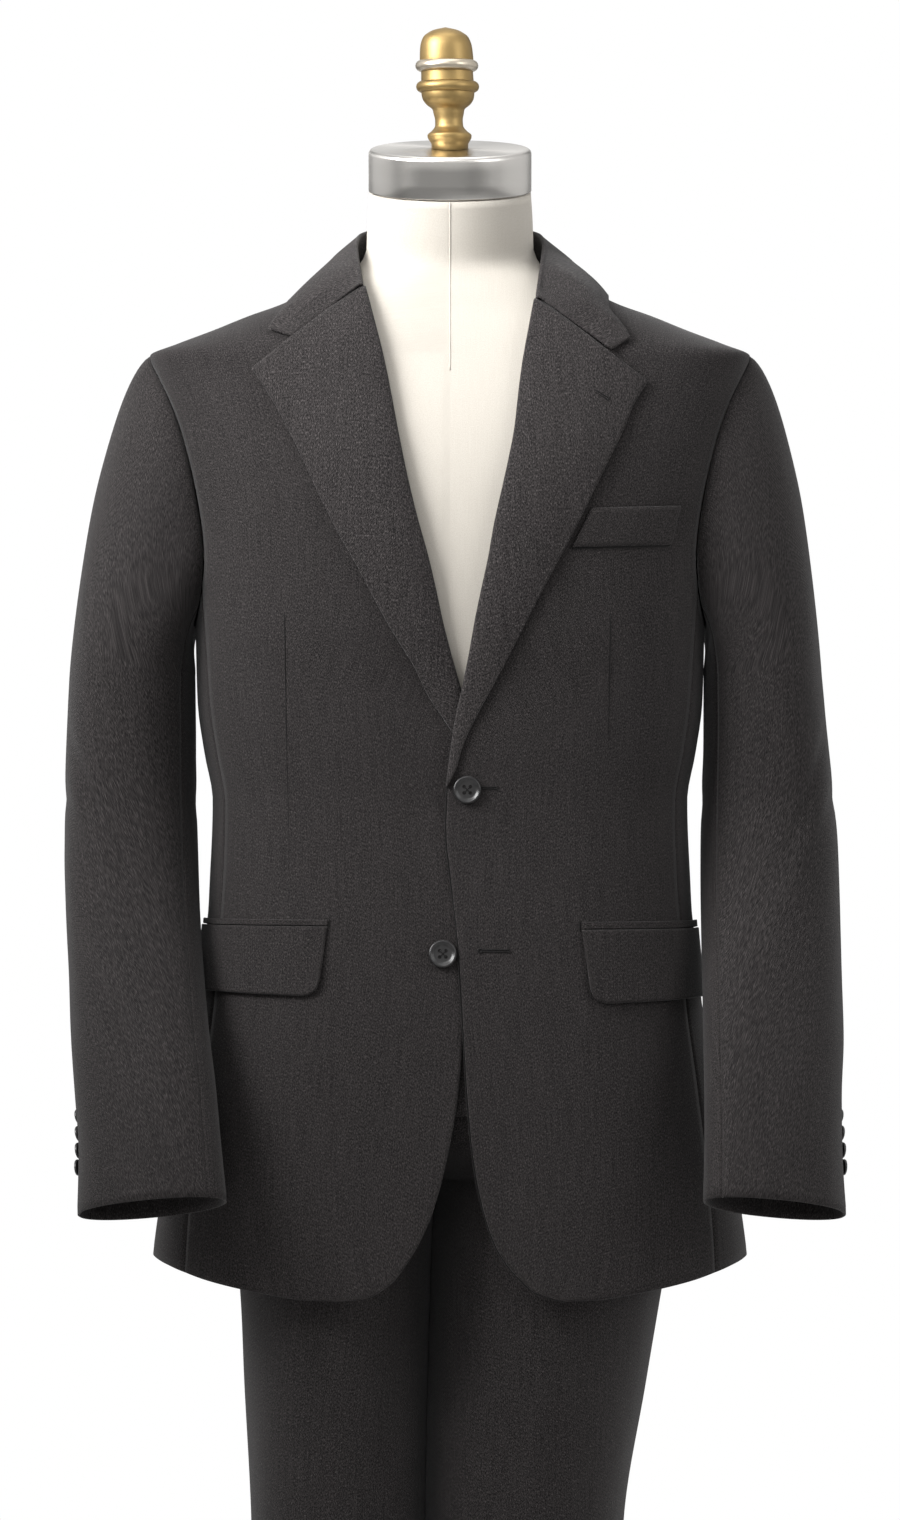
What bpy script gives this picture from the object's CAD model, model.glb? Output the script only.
"""Finished look of the two-piece suit on its dress form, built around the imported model.

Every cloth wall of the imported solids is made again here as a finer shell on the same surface, with
rounded edges, soft creases and a heathered worsted. The buttons, buttonholes, darts, linen form, cap and
finial are made in full. The torso surface, its tables and its panels are those of the solids, in the same
metres: an angle (0 at the centre front, 90 at the side, 180 at the centre back) and a height.
"""
from __future__ import annotations

import logging
import math
from dataclasses import dataclass
from enum import Enum
from functools import partial
from typing import Callable, Mapping, Sequence

import bpy
import numpy as np
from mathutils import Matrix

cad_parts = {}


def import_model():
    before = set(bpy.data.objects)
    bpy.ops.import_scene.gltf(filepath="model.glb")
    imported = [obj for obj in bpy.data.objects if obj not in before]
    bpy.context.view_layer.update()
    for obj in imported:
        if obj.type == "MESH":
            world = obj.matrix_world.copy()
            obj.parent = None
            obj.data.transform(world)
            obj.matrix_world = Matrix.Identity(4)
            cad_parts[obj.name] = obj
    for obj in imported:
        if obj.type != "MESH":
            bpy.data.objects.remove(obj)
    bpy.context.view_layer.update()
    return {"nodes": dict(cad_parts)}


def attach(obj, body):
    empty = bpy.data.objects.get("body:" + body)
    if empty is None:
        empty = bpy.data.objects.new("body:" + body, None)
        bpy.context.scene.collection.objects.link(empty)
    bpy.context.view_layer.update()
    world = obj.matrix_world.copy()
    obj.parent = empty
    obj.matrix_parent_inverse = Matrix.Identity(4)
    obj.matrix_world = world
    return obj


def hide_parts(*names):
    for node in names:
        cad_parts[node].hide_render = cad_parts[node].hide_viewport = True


LOG = logging.getLogger("suit")

# Photograph: 900 x 1520, 0.716 mm a pixel where y is 0, its middle at a height of 1.09 m
CAMERA_DISTANCE, CAMERA_HEIGHT, VIEW_HEIGHT = 6.0, 1.09, 1.0883
SENSOR_MM = 36.0

# Sizes shared by the pieces
JACKET_WALL = 0.0018
LAPEL_WALL = 0.0015
TROUSER_WALL = 0.0014
SQUARENESS = 2.4
SHOULDER_TIP_Z = 1.379
NECK_POINT_Z = 1.447
CAP_RADIUS, CAP_HEIGHT, CAP_TOP_Z, CAP_TILT = 0.0584, 0.031, 1.528, math.radians(10.4)
FORM_BOTTOM_Z = 0.862
WAISTBAND_HEIGHT, TROUSER_TOP_Z = 0.034, 1.0
FORK_TOP_Z, FORK_Z, TROUSER_HEM_Z = 0.86, 0.79, 0.036
VENT_TOP_Z, VENT_LAP = 0.95, 0.034
BUTTON_RADIUS, SLEEVE_BUTTON_RADIUS, SLEEVE_BUTTON_PITCH = 0.0099, 0.0058, 0.012
LOWEST_SLEEVE_BUTTON_Z, SLEEVE_BUTTON_TURN = 0.8105, 24.0

# Torso surface: height, half width at the side, depth to the front, depth to the back
TORSO = (
    (0.690, 0.2175, 0.1360, 0.1270),
    (0.720, 0.2145, 0.1350, 0.1250),
    (0.764, 0.2090, 0.1335, 0.1225),
    (0.860, 0.1910, 0.1305, 0.1170),
    (0.918, 0.1800, 0.1275, 0.1110),
    (0.975, 0.1745, 0.1230, 0.1010),
    (1.004, 0.1720, 0.1200, 0.0950),
    (1.061, 0.1698, 0.1170, 0.0890),
    (1.095, 0.1757, 0.1180, 0.0918),
    (1.130, 0.1805, 0.1190, 0.0950),
    (1.190, 0.1824, 0.1230, 0.1070),
    (1.250, 0.1870, 0.1220, 0.1160),
    (1.300, 0.1970, 0.1150, 0.1200),
    (1.340, 0.2060, 0.1030, 0.1180),
    (1.366, 0.2120, 0.0930, 0.1130),
    (1.379, 0.2147, 0.0875, 0.1100),
    (1.387, 0.1965, 0.0840, 0.1075),
    (1.397, 0.1700, 0.0795, 0.1040),
    (1.4075, 0.1440, 0.0735, 0.1000),
    (1.4155, 0.1215, 0.0690, 0.0970),
    (1.423, 0.1060, 0.0650, 0.0940),
    (1.430, 0.0935, 0.0620, 0.0910),
    (1.437, 0.0845, 0.0585, 0.0880),
    (1.447, 0.0755, 0.0540, 0.0840),
    (1.462, 0.0690, 0.0500, 0.0800),
)
# How far the form and the trousers lie inside the torso surface: height, form, trousers
EASE = (
    (0.690, 0.0190, 0.0090),
    (0.860, 0.0190, 0.0090),
    (0.900, 0.0165, 0.0090),
    (0.950, 0.0145, 0.0080),
    (1.000, 0.0108, 0.0076),
    (1.036, 0.0108, 0.0076),
    (1.061, 0.0120, 0.0076),
    (1.130, 0.0105, 0.0076),
    (1.190, 0.0095, 0.0076),
    (1.250, 0.0090, 0.0076),
    (1.300, 0.0080, 0.0076),
    (1.340, 0.0070, 0.0076),
    (1.365, 0.0075, 0.0076),
    (1.379, 0.0078, 0.0076),
    (1.425, 0.0078, 0.0076),
    (1.437, 0.0092, 0.0076),
)
# Jacket hem: angle, height
HEM = (
    (0, 0.7103),
    (38, 0.7110),
    (48, 0.7150),
    (56, 0.7195),
    (64, 0.7250),
    (73, 0.7320),
    (90, 0.7370),
    (180, 0.7370),
)
# Seams of the side panel: share of the way up, angle at the front seam, angle at the back seam
SIDE_SEAMS = (
    (0.00, 67.5, 117.0),
    (0.45, 71.0, 117.0),
    (0.70, 72.5, 117.5),
    (0.88, 74.0, 115.5),
    (1.00, 75.5, 112.0),
)
SIDE_SEAM_TOPS = (1.210, 1.250)
# Armhole: turn from the shoulder tip by way of the front, angle and height on the torso surface
ARMHOLE = (
    (0, 91.0, 1.3790),
    (25, 84.5, 1.3660),
    (50, 78.0, 1.3350),
    (75, 74.0, 1.2900),
    (100, 73.0, 1.2450),
    (125, 75.5, 1.2100),
    (155, 83.0, 1.1900),
    (180, 92.0, 1.1850),
    (205, 101.0, 1.1930),
    (230, 108.5, 1.2150),
    (255, 112.0, 1.2500),
    (280, 112.0, 1.2900),
    (305, 109.0, 1.3300),
    (332, 101.5, 1.3630),
    (360, 91.0, 1.3790),
)
FRONT_SEAM_TURN, BACK_SEAM_TURN = 125, 255
# Front edge from the hem up to the break, on each side: distance across from the centre, height
EDGE = {
    "left": (
        (0.0813, 0.7103),
        (0.0607, 0.7165),
        (0.0489, 0.7267),
        (0.0342, 0.7459),
        (0.0253, 0.7694),
        (0.0188, 0.7960),
        (0.0126, 0.8520),
        (0.0104, 0.8905),
        (0.0080, 0.9270),
        (0.0056, 0.9675),
        (0.0000, 1.0140),
        (-0.0024, 1.0396),
        (-0.0014, 1.0719),
    ),
    "right": (
        (0.0807, 0.7103),
        (0.0630, 0.7120),
        (0.0455, 0.7200),
        (0.0336, 0.7327),
        (0.0218, 0.7519),
        (0.0130, 0.7710),
        (0.0056, 0.7960),
        (-0.0050, 0.8520),
        (-0.0090, 0.8905),
        (-0.0098, 0.9540),
        (-0.0140, 1.0000),
        (-0.0239, 1.0690),
    ),
}
# Roll line from the break up to the gorge
ROLL = {
    "left": (
        (-0.0014, 1.0719),
        (0.0046, 1.1120),
        (0.0140, 1.1553),
        (0.0207, 1.1928),
        (0.0288, 1.2304),
        (0.0340, 1.2596),
        (0.0400, 1.2860),
        (0.0476, 1.3244),
        (0.0517, 1.3607),
        (0.0574, 1.3939),
        (0.0614, 1.4156),
    ),
    "right": (
        (-0.0239, 1.0690),
        (-0.0084, 1.1285),
        (0.0049, 1.1767),
        (0.0169, 1.2304),
        (0.0230, 1.2520),
        (0.0305, 1.2823),
        (0.0381, 1.3186),
        (0.0438, 1.3494),
        (0.0497, 1.3778),
        (0.0556, 1.4012),
        (0.0618, 1.4250),
    ),
}
# Outer edge of the lapel from the break up to its point
LAPEL = {
    "left": (
        (0.0042, 1.0830),
        (0.0126, 1.1094),
        (0.0206, 1.1243),
        (0.0446, 1.1700),
        (0.0621, 1.2048),
        (0.0756, 1.2305),
        (0.0870, 1.2522),
        (0.1095, 1.2980),
        (0.1209, 1.3211),
        (0.1289, 1.3402),
        (0.1390, 1.3570),
    ),
    "right": (
        (-0.0165, 1.0790),
        (-0.0032, 1.1076),
        (0.0129, 1.1297),
        (0.0223, 1.1498),
        (0.0358, 1.1726),
        (0.0490, 1.1956),
        (0.0625, 1.2220),
        (0.0815, 1.2561),
        (0.1005, 1.2961),
        (0.1195, 1.3346),
        (0.1396, 1.3664),
    ),
}
# Notch: the gorge's end at the notch, the collar's point and where the collar's edge meets the shoulder line
NOTCH = {
    "left": ((0.1135, 1.3790), (0.1275, 1.3870), (0.1022, 1.4229)),
    "right": ((0.1110, 1.3880), (0.1285, 1.3935), (0.1035, 1.4275)),
}
# How deep the wearer's right front lies under the left one: height, depth
UNDERLAP = (
    (0.700, 0.0006),
    (0.800, 0.0012),
    (0.880, 0.0030),
    (1.020, 0.0030),
    (1.065, 0.0056),
    (1.140, 0.0056),
    (1.190, 0.0030),
    (1.250, 0.0000),
)
# Sleeve sections: height of the middle, left inner x, left outer x, right inner x, right outer x, middle y,
# half depth, shear of y along x, tilt of the height along y
SLEEVE = (
    (1.150, 0.1817, 0.2664, 0.1825, 0.2726, 0.0060, 0.0660, 0.00, 0.00),
    (1.110, 0.1816, 0.2702, 0.1820, 0.2746, 0.0060, 0.0640, 0.00, 0.00),
    (1.068, 0.1803, 0.2744, 0.1815, 0.2757, 0.0030, 0.0610, 0.02, 0.03),
    (1.026, 0.1790, 0.2776, 0.1800, 0.2757, -0.0080, 0.0570, 0.06, 0.08),
    (0.983, 0.1785, 0.2783, 0.1780, 0.2740, -0.0270, 0.0530, 0.12, 0.13),
    (0.940, 0.1785, 0.2785, 0.1745, 0.2709, -0.0510, 0.0490, 0.20, 0.18),
    (0.897, 0.1785, 0.2780, 0.1700, 0.2676, -0.0760, 0.0450, 0.28, 0.21),
    (0.857, 0.1785, 0.2761, 0.1645, 0.2643, -0.0980, 0.0420, 0.34, 0.23),
    (0.815, 0.1780, 0.2765, 0.1600, 0.2615, -0.1180, 0.0395, 0.38, 0.23),
    (0.776, 0.1765, 0.2785, 0.1555, 0.2620, -0.1330, 0.0380, 0.40, 0.23),
)
# Sleeve seams: share of the way down, turn of the front seam, turn of the back seam
SLEEVE_SEAMS = (
    (0.00, 140.0, 250.0),
    (0.35, 142.0, 262.0),
    (0.60, 142.0, 282.0),
    (0.85, 140.0, 312.0),
    (1.00, 138.0, 330.0),
)
# Collar: share of the way from a front end to the centre back, fold x, y, z
FOLD = (
    (0.22, 0.0660, -0.0300, 1.4450),
    (0.42, 0.0678, 0.0050, 1.4590),
    (0.58, 0.0650, 0.0370, 1.4680),
    (0.80, 0.0400, 0.0690, 1.4755),
    (1.00, 0.0000, 0.0810, 1.4780),
)
# Trouser sections: height, left outer x, right outer x, left inner x, right inner x, front y, back y
TROUSERS = (
    (0.860, 0.1820, 0.1820, 0.0000, 0.0000, 0.1215, 0.1080),
    (0.830, 0.1775, 0.1775, -0.0020, 0.0026, 0.1190, 0.1085),
    (0.790, 0.1680, 0.1680, -0.0082, 0.0088, 0.1140, 0.1070),
    (0.755, 0.1590, 0.1585, -0.0122, 0.0128, 0.1100, 0.1040),
    (0.712, 0.1516, 0.1504, -0.0138, 0.0144, 0.1050, 0.0990),
    (0.645, 0.1403, 0.1473, -0.0158, 0.0164, 0.0970, 0.0920),
    (0.546, 0.1244, 0.1423, -0.0176, 0.0182, 0.0880, 0.0830),
    (0.450, 0.1200, 0.1405, -0.0168, 0.0186, 0.0840, 0.0800),
    (0.300, 0.1160, 0.1400, -0.0145, 0.0205, 0.0790, 0.0770),
    (0.150, 0.1130, 0.1400, -0.0115, 0.0225, 0.0755, 0.0755),
    (0.036, 0.1110, 0.1400, -0.0100, 0.0240, 0.0740, 0.0750),
)
# Pocket flaps: angles at the front and back ends, heights of the jet's top, the flap's top and its bottom
FLAPS = {"left": (39.5, 86.0, 0.9760, 0.9705, 0.9180), "right": (37.0, 84.5, 0.9775, 0.9730, 0.9235)}
# Chest welt on the wearer's left: x and height of its corners, from the lower inner one round to the upper
WELT = ((0.0850, 1.2392), (0.1556, 1.2419), (0.1622, 1.2699), (0.0990, 1.2670))
# Front buttons: name, side of the cloth that each is sewn to, distance across from the centre, height
FRONT_BUTTONS = (("button_upper", "left", 0.0120, 1.0692), ("button_lower", "right", 0.0051, 0.9541))
# Finial: radius, height
FINIAL = (
    (0.0132, 1.5312),
    (0.0157, 1.5356),
    (0.0158, 1.5374),
    (0.0124, 1.5406),
    (0.0101, 1.5440),
    (0.0099, 1.5480),
    (0.0109, 1.5530),
    (0.0114, 1.5556),
    (0.0160, 1.5596),
    (0.0184, 1.5636),
    (0.0190, 1.5680),
    (0.0216, 1.5692),
    (0.0225, 1.5720),
    (0.0216, 1.5748),
    (0.0188, 1.5760),
    (0.0186, 1.5828),
    (0.0216, 1.5842),
    (0.0226, 1.5870),
    (0.0216, 1.5898),
    (0.0192, 1.5912),
    (0.0190, 1.5960),
    (0.0184, 1.6016),
    (0.0161, 1.6077),
    (0.0125, 1.6107),
    (0.0088, 1.6126),
)
FINIAL_TOP_Z, FINIAL_LEAN = 1.6146, math.radians(2.2)

# How far each cloth shell runs past its seam line, so that no light shows between neighbours
SEAM_LAP = 0.0002
# The shoulder seam lies in the torso's side plane
SHOULDER_ANGLE = 90.0
# How far the right back runs on under the left above the vent
SEAM_LAP_BACK = 0.0012
# Lapel: height over the front above which its fullness lifts it, and its grain in degrees
LAPEL_FLAT, LAPEL_GRAIN = 0.0013, -14.0
# Share of a flap's length that its rounded corner takes
CORNER_SHARE = 0.11
# Sleeve: power of its sections' cosine and sine, and share of its length that its cap takes
SLEEVE_POWER, CAP_SHARE = 0.92, 0.32
# The narrowest width that is stated for a sheet
NARROWEST_SHEET = 0.011
# How far a shell's faces are drawn in from its rim, as a share of its thickness
RIM_SHARE = 0.28
# How far from its seams the cloth turns in
ROLL_REACH = 0.002
# How far the inside of each leg presses on the other
LEG_PRESS = 0.0010
# The finial's two thin rings: heights, radius of the ring and of its section
UPPER_RING_Z, LOWER_RING_Z, RING_RADIUS, RING_TUBE = 1.5870, 1.5720, 0.0185, 0.0041
# Weave: shares of the warp's streaks and of the broad clouds in its tone, and the twill's slope
WARP_SHARE, BROAD_SHARE, TWILL_PITCH = 0.24, 0.18, 3.1


class Side(Enum):
    """Wearer's side."""

    LEFT = "left"
    RIGHT = "right"

    @property
    def sign(self) -> float:
        """1 on the wearer's left, which is +X, and -1 on the right."""
        return 1.0 if self is Side.LEFT else -1.0

    def place(self, points: np.ndarray) -> np.ndarray:
        """Points made for the wearer's left, put on this side."""
        return points * np.array([self.sign, 1.0, 1.0])


# ---- curves and surfaces


def cubic(share: np.ndarray, ends: Sequence[np.ndarray], slopes: Sequence[np.ndarray]) -> np.ndarray:
    """Hermite cubic: (2s3 - 3s2 + 1) a + (s3 - 2s2 + s) a' + (3s2 - 2s3) b + (s3 - s2) b'."""
    square, cube = share**2, share**3
    return (
        (2 * cube - 3 * square + 1) * ends[0]
        + (cube - 2 * square + share) * slopes[0]
        + (3 * square - 2 * cube) * ends[1]
        + (cube - square) * slopes[1]
    )


def smooth_through(at: Sequence[float], values: Sequence[float], where: np.ndarray) -> np.ndarray:
    """Cubic curve through the rows that never overshoots between them.

    Args:
        at: rising positions of the rows.
        values: the value at each row.
        where: positions to read.

    Returns:
        The values there, with the end values kept beyond the ends.
    """
    at, values, where = (np.asarray(part, float) for part in (at, values, where))
    step, rise = np.diff(at), np.diff(values)
    slope = rise / step
    tangent = np.empty(len(at))
    before, after = slope[:-1], slope[1:]
    weight = (2 * step[1:] + step[:-1], step[1:] + 2 * step[:-1])
    same = before * after > 0
    safe = np.where(same, weight[0] / np.where(same, before, 1) + weight[1] / np.where(same, after, 1), 1)
    tangent[1:-1] = np.where(same, (weight[0] + weight[1]) / safe, 0)
    tangent[0], tangent[-1] = slope[0], slope[-1]
    inside = np.clip(where, at[0], at[-1])
    index = np.clip(np.searchsorted(at, inside, side="right") - 1, 0, len(step) - 1)
    width = step[index]
    share = (inside - at[index]) / width
    ends = values[index], values[index + 1]
    return cubic(share, ends, (width * tangent[index], width * tangent[index + 1]))


def column(table: Sequence[Sequence[float]], number: int, where: np.ndarray | float) -> np.ndarray:
    """One column of a table, read at other values of its first column."""
    rows = np.array(table, float)
    return smooth_through(rows[:, 0], rows[:, number], where)


def along(points: Sequence[Sequence[float]], shares: np.ndarray) -> np.ndarray:
    """Points at the given shares of a curve's length."""
    points = np.array(points, float)
    reach = np.concatenate([[0], np.cumsum(np.linalg.norm(np.diff(points, axis=0), axis=1))])
    return np.stack([smooth_through(reach / reach[-1], part, shares) for part in points.T], axis=-1)


def ramp(value: np.ndarray | float, start: float, end: float) -> np.ndarray:
    """0 at start, 1 at end, level at both."""
    share = np.clip((np.asarray(value, float) - start) / (end - start), 0, 1)
    return share * share * (3 - 2 * share)


def unit(vectors: np.ndarray) -> np.ndarray:
    """Vectors of length 1."""
    return vectors / np.maximum(np.linalg.norm(vectors, axis=-1, keepdims=True), 1e-12)


def torso(theta: np.ndarray | float, z: np.ndarray | float) -> np.ndarray:
    """Points of the torso surface: level rings, each a squared-off oval of its width and depth."""
    theta, z = np.broadcast_arrays(np.asarray(theta, float), np.asarray(z, float))
    turn = np.radians(theta)
    width, front, back = (column(TORSO, number, z) for number in (1, 2, 3))
    depth = np.where(np.cos(turn) > 0, front, back)
    reach = (np.abs(np.sin(turn)) / width) ** SQUARENESS + (np.abs(np.cos(turn)) / depth) ** SQUARENESS
    radius = reach ** (-1 / SQUARENESS)
    return np.stack([radius * np.sin(turn), -radius * np.cos(turn), z], axis=-1)


def torso_normal(theta: np.ndarray | float, z: np.ndarray | float) -> np.ndarray:
    """Outward direction of the torso surface."""
    theta, z = np.broadcast_arrays(np.asarray(theta, float), np.asarray(z, float))
    across = torso(theta + 0.2, z) - torso(theta - 0.2, z)
    up = torso(theta, z + 0.0008) - torso(theta, z - 0.0008)
    return unit(np.cross(across, up))


def torso_at(place: np.ndarray) -> tuple[np.ndarray, np.ndarray]:
    """Points of the torso surface and its outward directions at angles and heights."""
    return torso(place[..., 0], place[..., 1]), torso_normal(place[..., 0], place[..., 1])


def on_front(points: np.ndarray | Sequence[Sequence[float]]) -> np.ndarray:
    """Angle and height from distance across and height, on the front half."""
    points = np.asarray(points, float)
    across, z = points[..., 0], points[..., 1]
    width, front = column(TORSO, 1, z), column(TORSO, 2, z)
    share = np.clip(np.abs(across) / width, 0, 1)
    depth = front * (1 - share**SQUARENESS) ** (1 / SQUARENESS)
    return np.stack([np.degrees(np.arctan2(across, np.maximum(depth, 1e-6))), z], axis=-1)


def patch(
    left: np.ndarray,
    right: np.ndarray,
    bottom: np.ndarray,
    top: np.ndarray,
    shares: np.ndarray | None = None,
) -> np.ndarray:
    """Grid with four given curves as borders: its rows run from left to right, and go up."""
    up = np.linspace(0, 1, len(left))[:, None, None]
    over = (np.linspace(0, 1, len(bottom)) if shares is None else np.asarray(shares))[None, :, None]
    sides = left[:, None] * (1 - over) + right[:, None] * over
    ends = bottom[None] * (1 - up) + top[None] * up
    low, high = (left[row] * (1 - over) + right[row] * over for row in (0, -1))
    return sides + ends - (low * (1 - up) + high * up)


def finer(grid: np.ndarray, up: int, over: int) -> np.ndarray:
    """The same grid with more rows and columns, on curves through its points that never overshoot."""
    return finer_rows(np.swapaxes(finer_rows(np.swapaxes(grid, 0, 1), over), 0, 1), up)


def finer_rows(grid: np.ndarray, times: int) -> np.ndarray:
    """The grid with this many steps from each row to the next.

    Each column runs on cubic curves. A row's tangent is the harmonic mean of the steps before and after
    it, or 0 where they point opposite ways, so the curve never passes its points.
    """
    if times == 1:
        return grid
    step = np.diff(grid, axis=0)
    before, after = step[:-1], step[1:]
    same = before * after > 0
    both = np.where(same, before + after, 1.0)
    inner = np.where(same, 2 * before * after / both, 0.0)
    tangent = np.concatenate([step[:1], inner, step[-1:]])
    where = np.linspace(0, len(grid) - 1, (len(grid) - 1) * times + 1)
    index = np.clip(np.floor(where).astype(int), 0, len(grid) - 2)
    share = (where - index).reshape((-1,) + (1,) * (grid.ndim - 1))
    return cubic(share, (grid[index], grid[index + 1]), (tangent[index], tangent[index + 1]))


def grid_normal(grid: np.ndarray) -> np.ndarray:
    """Direction square to a grid of points."""
    return unit(np.cross(np.gradient(grid, axis=1), np.gradient(grid, axis=0)))


def drawn_in(grid: np.ndarray, by: float) -> np.ndarray:
    """The grid with its border moved in."""
    grid = grid.copy()
    first, last = unit(grid[1] - grid[0]), unit(grid[-2] - grid[-1])
    grid[0] += by * first
    grid[-1] += by * last
    left, right = unit(grid[:, 1] - grid[:, 0]), unit(grid[:, -2] - grid[:, -1])
    grid[:, 0] += by * left
    grid[:, -1] += by * right
    return grid


def lengths(grid: np.ndarray) -> tuple[np.ndarray, np.ndarray]:
    """Distance of each point along its row and along its column."""
    over = np.linalg.norm(np.diff(grid, axis=1), axis=-1)
    up = np.linalg.norm(np.diff(grid, axis=0), axis=-1)
    rows, columns = grid.shape[:2]
    u = np.concatenate([np.zeros((rows, 1)), np.cumsum(over, axis=1)], axis=1)
    v = np.concatenate([np.zeros((1, columns)), np.cumsum(up, axis=0)], axis=0)
    return u, v


# ---- creases


@dataclass(frozen=True)
class Crease:
    """One soft trough or ridge in a piece.

    Args:
        over: share of the way across at its middle.
        up: share of the way up at its middle.
        length: metres from end to end.
        width: metres across the trough.
        turn: degrees from running across, counter-clockwise.
        height: metres it rises, below 0 for a trough.
    """

    over: float
    up: float
    length: float
    width: float
    turn: float
    height: float

    def lift(self, u: np.ndarray, v: np.ndarray) -> np.ndarray:
        """Rise at each point, given distances across and up in metres."""
        rows, columns = u.shape
        row = min(rows - 1, int(round(self.up * (rows - 1))))
        middle = int(round(self.over * (columns - 1)))
        du, dv = u - u[row, middle], v - v[row, middle]
        angle = math.radians(self.turn)
        lengthwise = du * math.cos(angle) + dv * math.sin(angle)
        crosswise = -du * math.sin(angle) + dv * math.cos(angle)
        fade = np.exp(-((2 * lengthwise / self.length) ** 4))
        return self.height * fade * np.exp(-((2 * crosswise / self.width) ** 2))


# ---- finishes


Inputs = Mapping[str | int, object]


class Nodes:
    """A node tree that is filled by named calls."""

    def __init__(self, tree: bpy.types.NodeTree) -> None:
        self.tree = tree

    def add(self, kind: str, inputs: Inputs | None = None, **settings: object) -> bpy.types.Node:
        """Adds a node, sets its properties and sets or links its inputs."""
        node = self.tree.nodes.new(kind)
        for key, value in settings.items():
            setattr(node, key, value)
        self.put(node, inputs or {})
        return node

    def put(self, node: bpy.types.Node, inputs: Inputs) -> None:
        """Sets or links a node's inputs."""
        for key, value in inputs.items():
            if isinstance(value, bpy.types.NodeSocket):
                self.tree.links.new(value, node.inputs[key])
            else:
                node.inputs[key].default_value = value

    def bump(self, height: object, strength: float, distance: float) -> bpy.types.NodeSocket:
        """Direction of a surface with a little relief."""
        inputs = {"Height": height, "Strength": strength, "Distance": distance}
        return self.add("ShaderNodeBump", inputs).outputs[0]

    def math(self, operation: str, first: object, second: object = 0.0) -> bpy.types.NodeSocket:
        """One sum of one or two values."""
        return self.add("ShaderNodeMath", {0: first, 1: second}, operation=operation).outputs[0]

    def noise(self, place: object, detail: float) -> bpy.types.NodeSocket:
        """Noise at a place that is already in the noise's own size."""
        return self.add("ShaderNodeTexNoise", {"Vector": place, "Scale": 1.0, "Detail": detail}).outputs[0]

    def grained(self, scale: Sequence[float], detail: float) -> bpy.types.NodeSocket:
        """Noise in the object's metres, so many grains a metre along each axis."""
        place = self.add("ShaderNodeTexCoord").outputs["Object"]
        scaled = self.add("ShaderNodeMapping", {"Vector": place, "Scale": scale}).outputs[0]
        return self.noise(scaled, detail)

    def remap(self, value: object, limits: Inputs, **settings: object) -> bpy.types.NodeSocket:
        """A value moved from one range to another."""
        return self.add("ShaderNodeMapRange", {"Value": value, **limits}, **settings).outputs[0]

    def blend(self, share: object, first: object, second: object) -> bpy.types.NodeSocket:
        """Colour between two colours."""
        return self.add("ShaderNodeMix", {0: share, 6: first, 7: second}, data_type="RGBA").outputs[2]


def rgba(colour: Sequence[float]) -> tuple[float, float, float, float]:
    """Colour with full cover."""
    return (colour[0], colour[1], colour[2], 1.0)


def heather_group() -> bpy.types.NodeTree:
    """Woven cloth group: warp streaks, small light slubs and a twill rib, all in the cloth's own metres.

    Returns:
        A group with inputs Dark, Light, Fleck, Threads and Slub, and outputs Color, Height and Mask.
    """
    name = "heather_weave"
    if name in bpy.data.node_groups:
        return bpy.data.node_groups[name]
    tree = bpy.data.node_groups.new(name, "ShaderNodeTree")
    for label, way, kind in (
        ("Dark", "INPUT", "NodeSocketColor"),
        ("Light", "INPUT", "NodeSocketColor"),
        ("Fleck", "INPUT", "NodeSocketColor"),
        ("Threads", "INPUT", "NodeSocketFloat"),
        ("Slub", "INPUT", "NodeSocketFloat"),
        ("Color", "OUTPUT", "NodeSocketColor"),
        ("Height", "OUTPUT", "NodeSocketFloat"),
        ("Mask", "OUTPUT", "NodeSocketFloat"),
    ):
        tree.interface.new_socket(label, in_out=way, socket_type=kind)
    nodes = Nodes(tree)
    given = nodes.add("NodeGroupInput").outputs
    uv = nodes.add("ShaderNodeUVMap", uv_map="cloth").outputs[0]
    u, v = nodes.add("ShaderNodeSeparateXYZ", {0: uv}).outputs[:2]

    def times(value: object, factor: object) -> bpy.types.NodeSocket:
        return nodes.math("MULTIPLY", value, factor)

    def stretched(across: float, lengthwise: float, detail: float) -> bpy.types.NodeSocket:
        """Noise with so many grains for each thread across the cloth and along it."""
        threads = given["Threads"]
        place = {0: times(u, times(threads, across)), 1: times(v, times(threads, lengthwise))}
        return nodes.noise(nodes.add("ShaderNodeCombineXYZ", place).outputs[0], detail)

    warp = stretched(0.90, 0.02, 1.0)
    fine = stretched(1.0, 0.55, 1.0)
    slubs = stretched(1.25, 0.40, 0.0)
    broad = stretched(0.02, 0.003, 2.0)
    tone = nodes.math("ADD", times(warp, WARP_SHARE), times(fine, 1 - WARP_SHARE))
    tone = nodes.remap(tone, {"From Min": 0.34, "From Max": 0.66}, interpolation_type="SMOOTHSTEP")
    tone = nodes.math("ADD", times(tone, 1 - BROAD_SHARE), times(broad, BROAD_SHARE))
    mask = times(nodes.remap(slubs, {"From Min": 0.62, "From Max": 0.78}), given["Slub"])
    colour = nodes.blend(mask, nodes.blend(tone, given["Dark"], given["Light"]), given["Fleck"])
    slope = times(nodes.math("ADD", u, v), times(given["Threads"], TWILL_PITCH))
    height = nodes.math("ADD", times(fine, 0.9), times(nodes.math("SINE", slope), 0.25))
    nodes.add("NodeGroupOutput", {"Color": colour, "Height": height, "Mask": mask})
    return tree


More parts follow.
